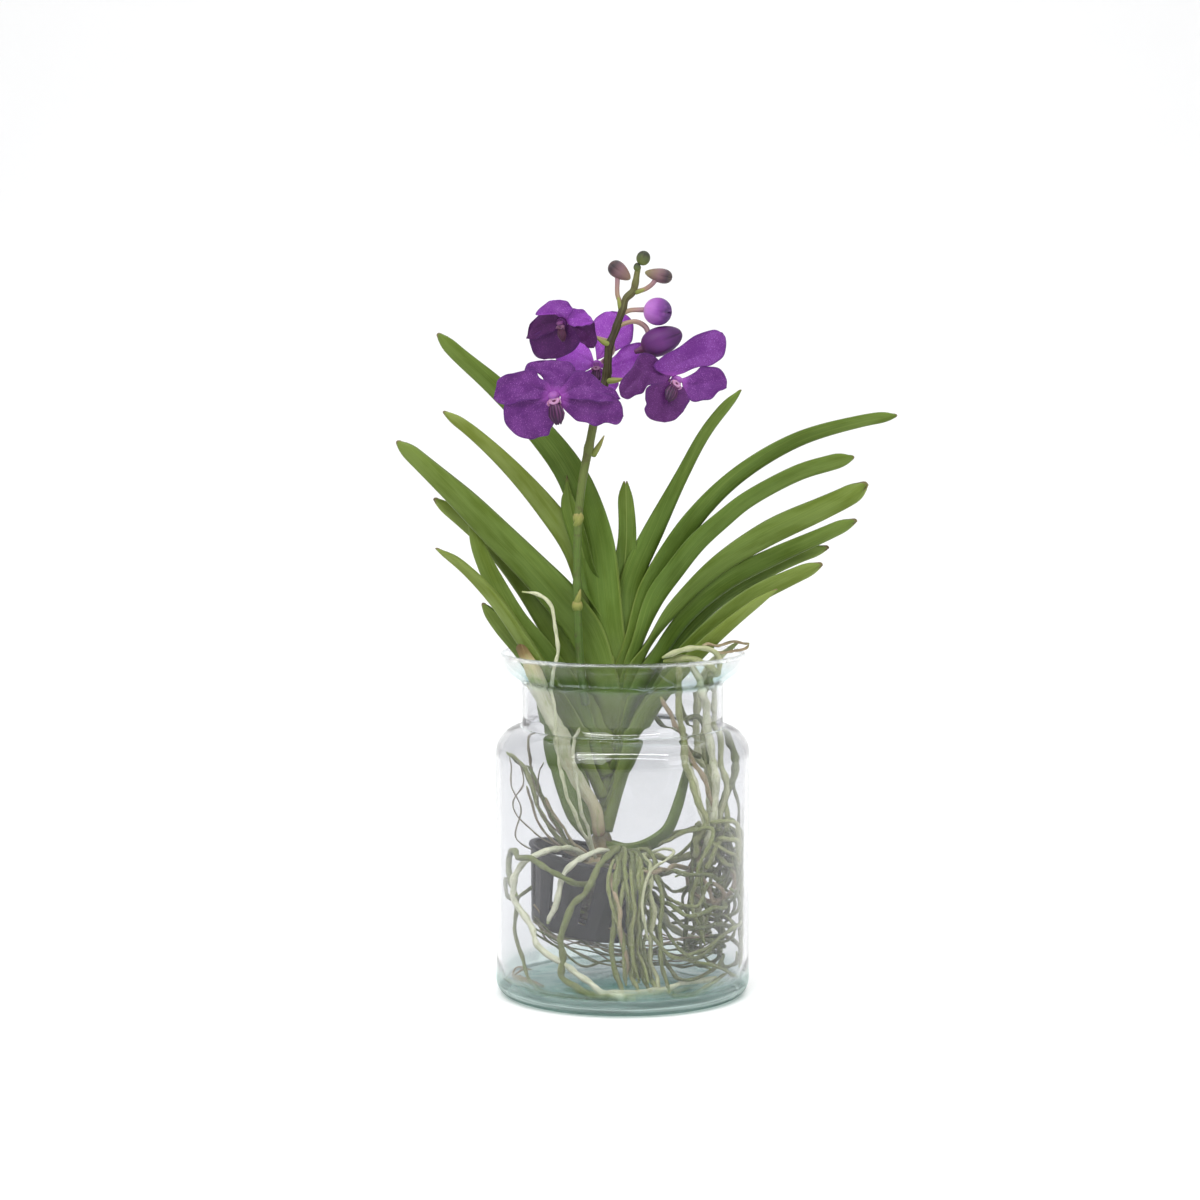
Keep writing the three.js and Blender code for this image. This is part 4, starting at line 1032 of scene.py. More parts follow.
def stem_foot(along):
    """1 at the old, knobbly base under the lowest sheath, 0 above it."""
    return 1 - smooth(along, 9, 27)


def stem_radius(along, share):
    return lerp(STEM_RADIUS, STEM_TOP_RADIUS, share) + STEM_FOOT_SWELL * stem_foot(along)


def stem_ridges(along, turn):
    ridges = 1 + 0.05 * np.sin(along / 1.6)[:, None] * np.ones((1, len(turn)))
    return ridges + 0.1 * stem_foot(along)[:, None] * np.sin(3 * turn[None] + along[:, None] / 2.4)


def stem():
    line = through([STEM_BASE, lerp(STEM_BASE, STEM_TOP, 0.5), STEM_TOP])
    points, faces, *_ = tube(line, stem_radius, STEM_SIDES, 1.2, wobble=stem_ridges)
    skin = Skin()
    skin.add(points, faces)
    skin.piece("leafy_stem", stem_material(), "stem_green", "stem")


# ------------------------------------------------------------------ flower spike
STALK = [(-27, -15, 214), (-30, -18.5, 236), (-32, -20, 262), (-33, -20, 300), (-32, -19, 349),
         (-29, -17, 376), (-23.5, -15, 404), (-18, -12, 430), (-12, -8, 449), (-11, -8, 460),
         (-10, -7, 471), (-6, -5, 481), (-3, -4, 490), (0, -3, 498), (2, -2, 505), (7, -1, 510),
         (9, -1, 517), (10, 0, 523), (11, 0, 528)]
STALK_NODES = (300, 348, 398, 437, 452, 472, 485, 497, 508, 516)  # heights where the stalk swells

BRACTS = [
    ((-33.5, -20, 286), (-30.5, -23.5, 297), 2.7),
    ((-33, -19, 343), (-30, -23.5, 352), 2.9),
    ((-21.5, -14.5, 393), (-13.5, -15.5, 407), 2.3),
    ((-12, -9, 446), (2, -12, 448), 2.3),
    ((-1.5, -3.5, 497), (-4, -1.5, 509), 1.8),
    ((9, -1, 509.5), (17.5, 0, 513), 1.8),
    ((-10, -8, 472), (-19, -9, 477), 2.2),
]
COLLARS = (285, 348)  # heights of the pale rings on the stalk
COLLAR_HALF = 2.8
STALK_LOW, STALK_LENGTH = 214, 314
STALK_ZONE, PEDICEL_ZONE, BRACT_ZONE = 0, 0.5, 1


def stalk_radius(heights):
    swell = sum(np.exp(-((heights - z) / 3.0) ** 2) for z in STALK_NODES)
    size = np.interp(heights, (214, 340, 400, 449, 482, 508, 528), (2.9, 2.9, 3.1, 3.1, 2.7, 2.4, 2.0))
    return size * (1 + 0.18 * swell)


def add_rod(skin, route, radius, sides, step, zone, seed, wobble=None):
    points, faces, t, along, turn = tube(through(route), radius, sides, step, wobble=wobble)
    height = (points[:, 2] - STALK_LOW) / STALK_LENGTH if zone == STALK_ZONE else t
    values = np.stack([np.full(len(t), zone), height, t], 1)
    skin.add(points, faces, spike=values, flat=flat_values(along, turn, 2.0, seed))


def between(foot, tip):
    """A radius that changes evenly along a rod."""
    return lambda along, share: lerp(foot, tip, share)


def bract_radius(size):
    return lambda along, share: size * np.maximum(np.cos(share * np.pi / 2.25), 0.12)


def collar_radius(along, share):
    return 3.3 + 0.7 * np.sin(np.pi * share)


def stalk_flutes(along, turn):
    return np.tile(1 + 0.05 * np.cos(5 * turn), (len(along), 1))


def pedicel_ribs(along, turn):
    return 1 + 0.08 * np.cos(6 * turn[None] + 0.16 * along[:, None])


def pedicel_route(centre, facing, start, route):
    face = unit(facing)
    end = np.array(centre) - 4.4 * face
    if route:
        return [start, *route, tuple(end)]
    bow = end - 9 * face
    return [start, tuple(lerp(np.array(start, float), bow, 0.5)), tuple(bow), tuple(end)]


def collar_route(line, height):
    """Three points on the stalk, from just under a collar to just over it."""
    heights = (height - COLLAR_HALF, height, height + COLLAR_HALF)
    return [[np.interp(z, line[:, 2], line[:, k]) for k in range(3)] for z in heights]


def spike():
    skin = Skin()
    line = through(STALK)
    shares = np.linspace(0, 1, 400)
    heights = even(line, 399)[0][:, 2]
    add_rod(skin, STALK, lambda along, share: stalk_radius(np.interp(share, shares, heights)), 16, 1.4,
            STALK_ZONE, 1, wobble=stalk_flutes)
    for i, height in enumerate(COLLARS):
        add_rod(skin, collar_route(line, height), collar_radius, 16, 0.5, BRACT_ZONE, 60 + i)
    for i, (at, to, size) in enumerate(BRACTS):
        middle = lerp(np.array(at, float), np.array(to, float), 0.55) + (0, -0.6, -0.6)
        add_rod(skin, [at, tuple(middle), to], bract_radius(size), 12, 0.8, BRACT_ZONE, 20 + i)
    for i, (_, centre, facing, start, route, *_) in enumerate(FLOWERS):
        add_rod(skin, pedicel_route(centre, facing, start, route), between(1.4, 1.9), 12, 0.8, PEDICEL_ZONE,
                30 + i, wobble=pedicel_ribs)
    for i, (*_, route, _, _) in enumerate(BUDS):
        if route:
            add_rod(skin, route, between(1.5, 1.9), 12, 0.7, PEDICEL_ZONE, 40 + i, wobble=pedicel_ribs)
    skin.piece("spike_stalk", spike_material(), "spike_green", "flower_spike")


# ------------------------------------------------------------------ flowers
VIEW_DIP = math.radians(CAMERA_DIP)
OUTLINE_UP = np.array((0, math.sin(VIEW_DIP), math.cos(VIEW_DIP)))  # the outlines' own up and depth
OUTLINE_IN = np.array((0, math.cos(VIEW_DIP), -math.sin(VIEW_DIP)))
PETAL_THICKNESS = 0.8
TEPAL_ROWS, TEPAL_COLUMNS = 52, 31
FLOWER_BACK = [(0.1, -4), (2.2, -3.6), (3.6, -2), (4.2, -0.6), (4.0, 0.6), (2.4, 1.2), (0.1, 1.3)]

# name, centre, facing, pedicel's start and route, column's place on the flower, lip's scale and swing,
# then tepals: painted light (0 in shade to 1 brightly lit), how far the tip bends back, how far it stands
# forward, and its two edges, claw to tip
FLOWERS = [
    ("flower_front", (-49, -44, 435.5), (-0.12, -0.98, -0.1), (-17, -11, 436), None, (0, 0), 0.9, 11, [
        (0.34, 5, -1.2, [(-5, 2), (-7, 9), (-8, 13), (-13, 17), (-21, 18), (-19, 23), (-12, 25), (-2, 26)],
         [(4, 3), (8, 6), (12, 10), (15, 16), (15, 20), (11, 24), (6, 25), (-2, 26)]),
        (0.32, 4, 0.8, [(-1, 3), (-4, 10), (-10, 13), (-14, 19), (-23, 18), (-29, 16), (-35, 15), (-40, 12),
          (-41, 7), (-43, -1)],
         [(-4, 0), (-11, -2), (-21, -3), (-28, -5), (-34, -6), (-38, -5), (-41, -3), (-43, -1)]),
        (0.3, 3, -1.2, [(-4, 1), (-15, 0), (-25, -2), (-34, -4), (-36, -8), (-35, -17), (-32, -22),
          (-27, -27), (-22, -29), (-16, -30)],
         [(0, -5), (1, -12), (0, -18), (-2, -23), (-4, -27), (-8, -28), (-12, -29), (-16, -30)]),
        (0.32, 4, 0.8, [(2, 3), (6, 7), (10, 12), (13, 16), (17, 18), (24, 17), (29, 13), (35, 8), (42, 5),
          (47, -2)],
         [(6, -1), (12, -2), (23, -3), (33, -4), (41, -4), (47, -2)]),
        (0.24, 3, -1.2, [(5, 1), (12, 2), (26, 2), (40, 1), (46, -3), (48, -7), (49, -14)],
         [(4, -5), (7, -9), (11, -13), (16, -17), (23, -19), (29, -21), (36, -19), (44, -20), (47, -18),
          (49, -14)]),
    ]),
    ("flower_top_left", (-38, -9, 484.5), (-0.5, -0.78, -0.38), (-8, -5.5, 474), [(-22, -5, 478)], (-6, 3),
     0.58, 0, [
        (0.0, 3, 1, [(-6, 3), (-10, 11), (-17, 11), (-23, 9), (-28, 5), (-30, 1), (-31, -3), (-32, -6)],
         [(-6, 0), (-13, -3), (-20, -5), (-25, -7), (-29, -7), (-32, -6)]),
        (0.1, 3, -1, [(-8, 2), (-17, 0), (-25, -3), (-29, -6), (-29, -11), (-27, -16), (-23, -20),
          (-19, -21)],
         [(1, 2), (6, -2), (8, -8), (6, -13), (1, -17), (-5, -20), (-12, -21), (-19, -21)]),
        (0.0, 3, 0, [(-1, 3), (5, 4), (12, 4), (16, 4), (18, -1), (19, -7), (19, -12), (17, -15)],
         [(1, 0), (4, -3), (5, -7), (8, -11), (12, -14), (15, -15), (17, -15)]),
        (0.75, -4, 2, [(-5, 8), (0, 12), (5, 12), (9, 11), (13, 8), (17, 2)],
         [(-3, 3), (3, 0), (9, 0), (13, 0), (17, 2)]),
        (0.72, -6, 4, [(-6, 5), (-10, 9), (-17, 9), (-25, 9), (-22, 13), (-18, 16), (-14, 18), (-10, 18)],
         [(-3, 5), (0, 8), (2, 11), (1, 14), (-1, 16), (-5, 18), (-10, 18)]),
    ]),
    ("flower_back", (-19, 15, 457), (-0.12, -0.98, 0.12), (-9, -5, 471),
     [(-7, 8, 470), (-8, 19, 466), (-14, 27, 460)], (0, 0), 0.6, 0, [
        (0.86, 2, 0, [(0, 4), (-1, 13), (-3, 22), (-3, 29), (-1, 34), (5, 39), (11, 40)],
         [(3, 5), (9, 8), (17, 12), (25, 17), (27, 25), (26, 31), (23, 36), (17, 39), (11, 40)]),
        (1.0, 2, 1, [(-2, 4), (-5, 12), (-12, 19), (-19, 20), (-24, 16), (-29, 11), (-30, 7)],
         [(-2, 0), (-8, -4), (-17, -4), (-24, 1), (-29, 4), (-30, 7)]),
        (0.8, 2, -1, [(-3, -2), (-14, -8), (-20, -18), (-18, -26)],
         [(1, -3), (2, -12), (-3, -22), (-12, -27), (-18, -26)]),
        (1.0, 2, 1, [(4, 1), (12, 6), (19, 13), (25, 16), (32, 16), (36, 12), (35, 3)],
         [(4, -2), (10, -8), (19, -11), (27, -8), (33, -3), (35, 3)]),
        (0.7, 2, -1, [(3, -2), (12, -6), (16, -12), (13, -20)],
         [(0, -4), (1, -12), (6, -19), (13, -20)]),
    ]),
    ("flower_right", (38, -8, 446), (0.42, -0.9, 0.08), (-12, -7, 447.5),
     [(-4, -2, 447), (10, 4, 446), (28, 5, 446)], (0, 0), 0.8, -34, [
        (0.1, -2, -2, [(-3, 4), (-9, 11), (-18, 19), (-25, 19), (-31, 10), (-37, 2), (-41, -5), (-40, -11)],
         [(-7, -2), (-14, -3), (-20, -4), (-24, -9), (-30, -12), (-35, -14), (-39, -13), (-40, -11)]),
        (0.44, -2, 1, [(-3, 3), (-10, 5), (-15, 8), (-16, 11), (-11, 16), (-2, 22), (7, 28), (16, 34),
          (23, 37), (29, 38), (34, 36)],
         [(3, 5), (6, 6), (12, 9), (19, 11), (26, 12), (31, 15), (35, 20), (37, 27), (36, 33), (34, 36)]),
        (0.36, -1, 0, [(4, 2), (7, 3), (14, 7), (19, 11), (28, 11), (34, 8), (37, 3), (37, -4)],
         [(5, -4), (8, -10), (11, -14), (19, -14), (26, -12), (31, -7), (35, -5), (37, -4)]),
        (0.1, 2, -3, [(-3, -4), (-8, -11), (-4, -18), (2, -22)],
         [(6, -4), (9, -11), (8, -18), (2, -22)]),
        (0.08, 1, 0, [(-7, 0), (-12, -2), (-19, -4), (-22, -7), (-22, -14), (-21, -17), (-23, -21),
          (-21, -26), (-15, -29), (-8, -30)],
         [(8, -6), (10, -14), (8, -17), (5, -22), (2, -26), (-3, -29), (-8, -30)]),
    ]),
]


def tepal_edges(one, other):
    """The two edges as even lines, in the order that turns the sheet's first side forward."""
    edges = [even(through([(x, 0, z) for x, z in edge]), TEPAL_ROWS - 1)[0] for edge in (one, other)]
    heading = edges[0][-1] - (edges[0][0] + edges[1][0]) / 2
    over = edges[1][TEPAL_ROWS // 2] - edges[0][TEPAL_ROWS // 2]
    return edges[::-1] if over[0] * heading[2] - over[2] * heading[0] < 0 else edges


def tepal_depth(face, x, z, u, v, bend_back, forward, phases):
    """How far back each point stands: tilted with the flower, bent at the tip, waved and channelled."""
    a, b, c = phases
    edge = np.abs(v)
    depth = -(face[0] * x + face[2] * z) / face[1] * 0.9 + bend_back * u ** 2 - forward * smooth(u, 0, 0.3)
    depth = depth - 0.9 * u * edge * np.sin(7 * u + 2.4 * v + a)
    depth = depth - 0.7 * edge ** 3 * smooth(u, 0.15, 0.5) * np.sin(17 * u + 5 * v + b)
    depth = depth - 0.4 * smooth(u, 0.1, 0.4) * np.sin(5 * v + 6 * u + c)
    channel = 0.9 * np.exp(-(v / 0.14) ** 2) * smooth(u, 0.0, 0.15) * (1 - u)
    sides_forward = 1.3 * edge ** 2 * smooth(u, 0.05, 0.4) * (1 - smooth(u, 0.8, 1))
    return depth + channel - sides_forward


def tepal(facing, tone, bend_back, forward, one, other, seed):
    """Middle surface of a tepal between its two outline edges, with its thickness and texture values."""
    first, second = tepal_edges(one, other)
    u, v = np.meshgrid(np.linspace(0, 1, TEPAL_ROWS), np.linspace(-1, 1, TEPAL_COLUMNS), indexing="ij")
    edge = np.abs(v)
    draw = random.Random(seed)
    phases = [draw.uniform(0, 6.3) for _ in range(3)]
    flat_place = lerp(first[:, None], second[:, None], (v[..., None] + 1) / 2)
    sideways = unit(second - first + (1e-6, 0, 0))[:, None] * (np.sign(v) * edge ** 3)[..., None]
    frill = 0.35 * np.sin(21 * u + phases[0]) * smooth(u, 0.15, 0.4) * (1 - smooth(u, 0.9, 1))
    flat_place = flat_place + sideways * frill[..., None]
    x, z = flat_place[..., 0], flat_place[..., 2]
    depth = tepal_depth(unit(facing), x, z, u, v, bend_back, forward, phases)
    middle = x[..., None] * np.array((1.0, 0, 0)) + z[..., None] * OUTLINE_UP + depth[..., None] * OUTLINE_IN
    thickness = PETAL_THICKNESS * (1 - 0.55 * smooth(edge, 0.5, 1)) * (1 - 0.5 * smooth(u, 0.8, 1))
    values = np.stack([u.ravel(), v.ravel(), np.ones(u.size)], 1)
    flat = np.stack([x.ravel(), z.ravel(), np.full(u.size, seed * 3.7)], 1)
    return middle, thickness, values, flat, np.full(u.size * 2, tone)


def placed(points, centre, facing):
    return np.asarray(points).reshape(-1, 3) @ basis_of(facing) + centre


def heart_of(centre, spot):
    """Where a flower's column stands."""
    return np.array(centre) + spot[0] * np.array((1.0, 0, 0)) + spot[1] * OUTLINE_UP


def flower(spec, material, number):
    name, centre, facing, _, _, spot, _, _, tepals = spec
    skin = Skin()
    for i, shape in enumerate(tepals):
        middle, thickness, upper, flat, tones = tepal(facing, *shape, number * 10 + i)
        points, faces = sheet(middle, thickness)
        under = upper * (1, 1, 0)
        skin.add(points + centre, faces, petal=np.vstack([upper, under]), flat=np.vstack([flat, flat]),
                 tone=tones)
    # the flower's back is painted as lit or shaded as its first tepal
    points, faces = turned_body(FLOWER_BACK, 20)
    values = np.tile((0.05, 0.0, 1.0), (len(points), 1))
    skin.add(placed(points, heart_of(centre, spot), facing), faces, petal=values, flat=points,
             tone=np.full(len(points), tepals[0][0]))
    skin.piece(name + "_tepals", material, "petal_violet", name)


def turned_body(profile, sides, squeeze=1.0):
    turn = np.linspace(0, 2 * np.pi, sides, endpoint=False)
    points = np.array([(r * math.cos(a), squeeze * r * math.sin(a), z) for r, z in profile for a in turn])
    return points, ring_faces(len(profile), sides)


# profiles of the column's turned parts, radius and height, and where the lip's material changes
HOOD = [(0.1, 0.5), (4.0, 0.9), (4.2, 3.2), (3.8, 5.6), (2.8, 7.2), (1.4, 8.0), (0.1, 8.2)]
RING = [(0.1, 0.5), (4.6, 0.8), (4.9, 3.2), (4.6, 5.4), (3.5, 6.2), (1.8, 5.8), (1.2, 4.8), (0.1, 4.6)]
CAVITY = [(0.1, 4.4), (1.4, 4.8), (1.4, 5.3), (0.1, 5.4)]
HOOD_UP = (0, 1.2, 0)
RING_UP = (0, -3.2, 0)
LIP_ZONE, HOOD_ZONE, PALE_ZONE, CAVITY_SHADE_ZONE = 0.0, 0.32, 0.6, 1.0
CUPPED_SHADE = 0.6


def side_lobe(side):
    """One of the two ears that stand beside the lip."""
    a, b = np.meshgrid(np.linspace(0, 1, 12), np.linspace(-1, 1, 9), indexing="ij")
    broad = 2.1 * np.sin(np.pi * np.clip(a * 0.85 + 0.15, 0, 1)) ** 0.7
    out = side * (4.2 + 1.6 * a - 0.2 * b ** 2)
    ear = np.stack([out, -4.6 + b * broad, 2.6 + 4.6 * a - 0.6 * b ** 2], -1)
    return sheet(ear if side < 0 else ear[:, ::-1], 0.6)


def lip_blade():
    """The narrow lip with three keels, and its texture values."""
    u, v = np.meshgrid(np.linspace(0, 1, 30), np.linspace(-1, 1, 25), indexing="ij")
    half = np.interp(u, (0, 0.3, 0.6, 0.85, 1), (3.2, 5.6, 6.6, 5.0, 2.2))
    keels = 0.9 * np.exp(-(v / 0.16) ** 2) + 0.7 * np.exp(-((np.abs(v) - 0.5) / 0.13) ** 2)
    height = 3.6 + 8 * u - 5 * u * u - 1.5 * np.abs(v) + keels * smooth(u, 0.05, 0.4) * (1 - 0.4 * u)
    blade = np.stack([v * half, -4.4 - 16.5 * u - 1.2 * np.cos(9 * v) * u ** 4, height], -1)
    points, faces = sheet(blade, 1.3 - 0.6 * smooth(np.abs(v), 0.6, 1))
    texture = np.stack([u.ravel(), v.ravel(), np.ones(u.size)], 1)
    return points, faces, np.vstack([texture, texture])


def lip_and_column(spec, material):
    """The hooded column over its pale ring and its cavity, painted dark as shade, two side lobes and the
    narrow plum lip.
    """
    name, centre, facing, _, _, spot, scale, swing, tepals = spec
    # painted shade for the cupped flower, whose first tepal is painted fully in shade
    shade = CUPPED_SHADE if tepals[0][0] == 0 else 0.0  # darkest inside the cupped flower
    skin = Skin()
    co, si = math.cos(math.radians(swing)), math.sin(math.radians(swing))
    spin = np.array([(co, si, 0), (-si, co, 0), (0, 0, 1)])
    heart = heart_of(centre, spot)

    def put(points, faces, zone, values=None):
        points = np.asarray(points, float).reshape(-1, 3) * scale
        texture = values if values is not None else np.tile((0.5, 0, 1), (len(points), 1))
        skin.add(placed(points @ spin, heart, facing), faces, zone=np.full(len(points), zone), petal=texture,
                 flat=points, shade=np.full(len(points), shade))

    turned = ((HOOD, 28, 0.72, HOOD_UP, HOOD_ZONE), (RING, 26, 0.58, RING_UP, PALE_ZONE),
              (CAVITY, 14, 0.75, RING_UP, CAVITY_SHADE_ZONE))
    for profile, sides, squeeze, up, zone in turned:
        points, faces = turned_body(profile, sides, squeeze)
        put(points + up, faces, zone)
    for side in (-1, 1):
        put(*side_lobe(side), PALE_ZONE)
    points, faces, texture = lip_blade()
    put(points, faces, LIP_ZONE, texture)
    skin.piece(name + "_column_and_lip", material, "lip_plum", name + "_lip")


# ------------------------------------------------------------------ buds
# name, centre, axis, length, width, pear shape, cleft, pedicel's route, slot, colours from foot to tip
BUDS = [
    ("bud_large", (28, 0, 475), (0.93, 0, 0.36), 31, 21.5, 0.16, 0.02,
     [(-5, -4, 484), (2, -3, 487.5), (9.5, -2, 488.5), (16, -1, 485), (18.5, -0.5, 480)],
     "bud_purple", ("5E3454", "54255F", "5C2A6A", "421C4E")),
    ("bud_medium", (25, -2, 495.8), (0.98, 0, -0.1), 20.5, 20, 0.0, 0.13, [(-1, -3, 494), (5, -3, 496.6),
                                                                           (15, -2, 497)],
     "bud_purple", ("C692CE", "AE70BE", "7C4090", "4C2860")),
    ("bud_young_left", (-2.2, 0, 524.5), (-0.8, 0, 0.6), 18.5, 12.4, -0.34, 0.04,
     [(0, -2, 499), (-3.8, -1.5, 507), (-4, -0.5, 517.5), (-4, 0, 521)],
     "bud_olive", ("8C7C5C", "7F675C", "75585F", "3E3338")),
    ("bud_young_right", (25.6, 0, 521.8), (0.95, 0, -0.2), 20, 11, -0.36, 0.04,
     [(8, -1, 510), (15, 0, 511.5), (20, 0, 514.5), (23.5, 0, 518.5)],
     "bud_olive", ("848652", "7C6F56", "765860", "40343B")),
    ("bud_top", (14.6, 0, 534), (0.3, 0, 0.95), 10.6, 10, 0.0, 0.05, None, "bud_olive",
     ("58643A", "616C36", "4C5434", "2B2C27")),
]
TINY_BUD = ((10.2, -0.8, 527.6), 5.4)  # beside the top bud: its place and width
LARGE_BUD_SPUR = [(20, 0, 470), (13.5, -0.5, 468.5), (9, -1, 467)]


def bud_shape(length, width, pear, cleft):
    """An egg along +Z with three shallow furrows that meet in a cleft at its tip."""
    rows, sides = 44, 54
    a = np.pi * np.linspace(0.012, 0.988, rows)
    turn = np.linspace(0, 2 * np.pi, sides, endpoint=False)
    radius = width / 2 * np.sin(a) ** 0.95 * (1 + pear * np.cos(a)) / (1 + abs(pear) * 0.25)
    apart = 1 - np.abs(((turn * 3 / (2 * np.pi) + 0.75) % 1) - 0.5) * 2  # 0 in a furrow, 1 between two
    furrow = 1 - 0.07 * np.exp(-(apart / 0.16) ** 2)[None] * smooth(a, 0.6, 2.0)[:, None]
    x = radius[:, None] * np.cos(turn)[None] * furrow
    y = radius[:, None] * np.sin(turn)[None] * furrow
    dip = np.exp(-(apart / 0.28) ** 2)[None] * smooth(a, 1.9, 2.8)[:, None]
    z = -length / 2 * np.cos(a)[:, None] - cleft * length * dip
    u = np.repeat(np.linspace(0, 1, rows), sides)
    values = np.stack([u, np.tile(apart, rows), np.ones(rows * sides)], 1)
    flat = np.stack([u * length, np.tile(turn, rows) * width / 2, np.full(rows * sides, 3.0)], 1)
    return np.stack([x, y, z], -1).reshape(-1, 3), ring_faces(rows, sides), values, flat


def bud(name, centre, axis, length, width, pear, cleft, _, slot, colours):
    points, faces, values, flat = bud_shape(length, width, pear, cleft)
    spin = np.array(Vector((0, 0, 1)).rotation_difference(Vector(axis)).to_matrix())
    skin = Skin()
    skin.add(points @ spin.T + centre, faces, petal=values, flat=flat)
    if name == "bud_top":
        place, across = TINY_BUD
        tiny, faces, values, flat = bud_shape(across * 1.15, across, 0.1, 0.03)
        skin.add(tiny + place, faces, petal=values, flat=flat)
    if name == "bud_large":  # the spur behind it
        points, faces, t, along, turn = tube(through(LARGE_BUD_SPUR), between(4.2, 1.7), 16, 1.0)
        values = np.stack([np.zeros(len(t)), np.full(len(t), 0.5), t], 1)
        skin.add(points, faces, petal=values, flat=flat_values(along, turn, 2, 4))
    skin.piece(name + "_sepals", bud_material(name, *colours), slot, name)


# ------------------------------------------------------------------ cut stub and roots
STUB = [(-17, -7, 118), (-20, -14, 137), (-34, -23, 162), (-45, -25, 191), (-55, -23, 214), (-60, -21, 227),
        (-68, -20, 247), (-72, -19, 256)]
CROWN = (-17, 0, 92)

BUNDLE_TINTS = (0.6, 0.72, 0.5, 0.66, 0.82, 0.58)
TANGLE_TINTS = (0.45, 0.5, 0.42, 0.55, 0.6, 0.48)
CROWN_PROFILE = [(0.1, -12), (4, -11.4), (7, -10), (9.6, -6.5), (11, -3), (11.3, 0), (11, 4), (9.4, 6.4),
                 (7, 8), (0.1, 8.6)]
CROWN_SKIN = (0.27, 0.3, 0)
THICK_ROOT = 1.4  # radius over which a root gets more sides

# Main roots as the frame has them: radius, tint (0 dry and dark to 1 chalky pale), then points.
ROOTS = [
    (2.1, 0.98, [(-12, -24, 108), (-27, -42, 107), (-43, -51, 95), (-49, -56, 74), (-53, -55, 61)]),
    (2.2, 0.97, [(-34, -14, 106), (-56, -36, 110), (-72, -40, 98), (-76, -38, 77), (-70, -48, 62),
     (-58, -60, 45), (-38, -66, 32), (-20, -73, 18), (-4, -78, 12.2), (8, -79, 11)]),
    (2.1, 0.55, [(-20, -34, 86), (-38, -58, 92), (-60, -54, 103), (-76, -36, 109), (-82, -20, 103),
     (-80, -28, 90), (-75, -40, 78)]),
    (2.4, 0.58, [(-8, -26, 111), (-22, -54, 94), (-36, -62, 72), (-43, -64, 48), (-38, -70, 24),
     (-18, -79, 12.4), (2, -80, 11)]),
    (1.4, 0.6, [(-40, 14, 94), (-62, 6, 80), (-77, -22, 68), (-74, -32, 40), (-66, -44, 15),
     (-48, -63, 11.2), (-14, -79, 11)]),
    (2.4, 0.78, [(14, 8, 100), (40, 2, 98), (60, -4, 110), (68, -8, 135), (64, -8, 165), (61, -8, 195),
     (60, -12, 222), (64, -34, 240), (50, -42, 249), (29, -40, 247)]),
    (2.8, 0.9, [(8, 12, 74), (42, 10, 42), (64, 8, 36), (55, 2, 62), (58, 0, 88), (68, 2, 114),
     (64, 8, 140), (57, 12, 180), (56, 16, 222), (70, 20, 243), (84, 14, 255)]),
    (1.5, 0.56, [(10, 20, 96), (40, 26, 96), (62, 30, 120), (66, 30, 160), (52, 32, 190), (42, 34, 214),
     (44, 40, 236)]),
    (1.35, 0.92, [(-22, -10, 106), (-31, -27, 124), (-43, -34, 162), (-47, -36, 192), (-49, -35, 207),
     (-50, -32, 226), (-46, -33, 258), (-48, -31, 270), (-54, -31, 286), (-62, -31, 294), (-72, -31, 296)]),
    (1.2, 0.5, [(-44, 20, 104), (-58, 24, 122), (-68, 26, 146), (-76, 20, 168), (-82, 14, 178)]),
    (1.2, 0.15, [(-38, 26, 102), (-52, 34, 124), (-66, 34, 152), (-70, 30, 186)]),
]


def draws(seed):
    """Seeded draws between 0 and 1, the same sequence as the frame's source uses."""
    state = seed
    while True:
        state = (state * 1664525 + 1013904223) % 4294967296
        yield state / 4294967296


def bundle_roots(seed=7, count=6):
    draw = draws(seed)
    made = []
    for i in range(count):
        x = -6 + 6.4 * i
        sway = 8 * (next(draw) - 0.5)
        radius = 1.5 + 0.5 * next(draw)
        path = [(0.6 * x, -22, 104 + 5 * next(draw)), (x, -52 - 3 * next(draw), 90), (x - sway, -58, 62),
                (x + sway, -62 + 6 * next(draw), 36), (x + 8 + sway, -64, 11.5)]
        made.append((radius, BUNDLE_TINTS[i], path))
    return made


def tangle_roots(seed=11, count=6):
    draw = draws(seed)
    made = []
    for i in range(count):
        height = 26 + 13.5 * i
        start = math.radians(-58 + 12 * next(draw))
        sweep = math.radians(105 + 30 * next(draw))
        arc = []
        for t in (0, 0.25, 0.5, 0.75, 1):
            radius = 66 + 18 * next(draw)
            turn = start + sweep * t
            z = max(height + 16 * (next(draw) - 0.5), 16)
            arc.append((radius * math.cos(turn), radius * math.sin(turn), z))
        made.append((1.3 + 0.5 * next(draw), TANGLE_TINTS[i], [(6, -8 + 3 * i, 84), *arc]))
    return made


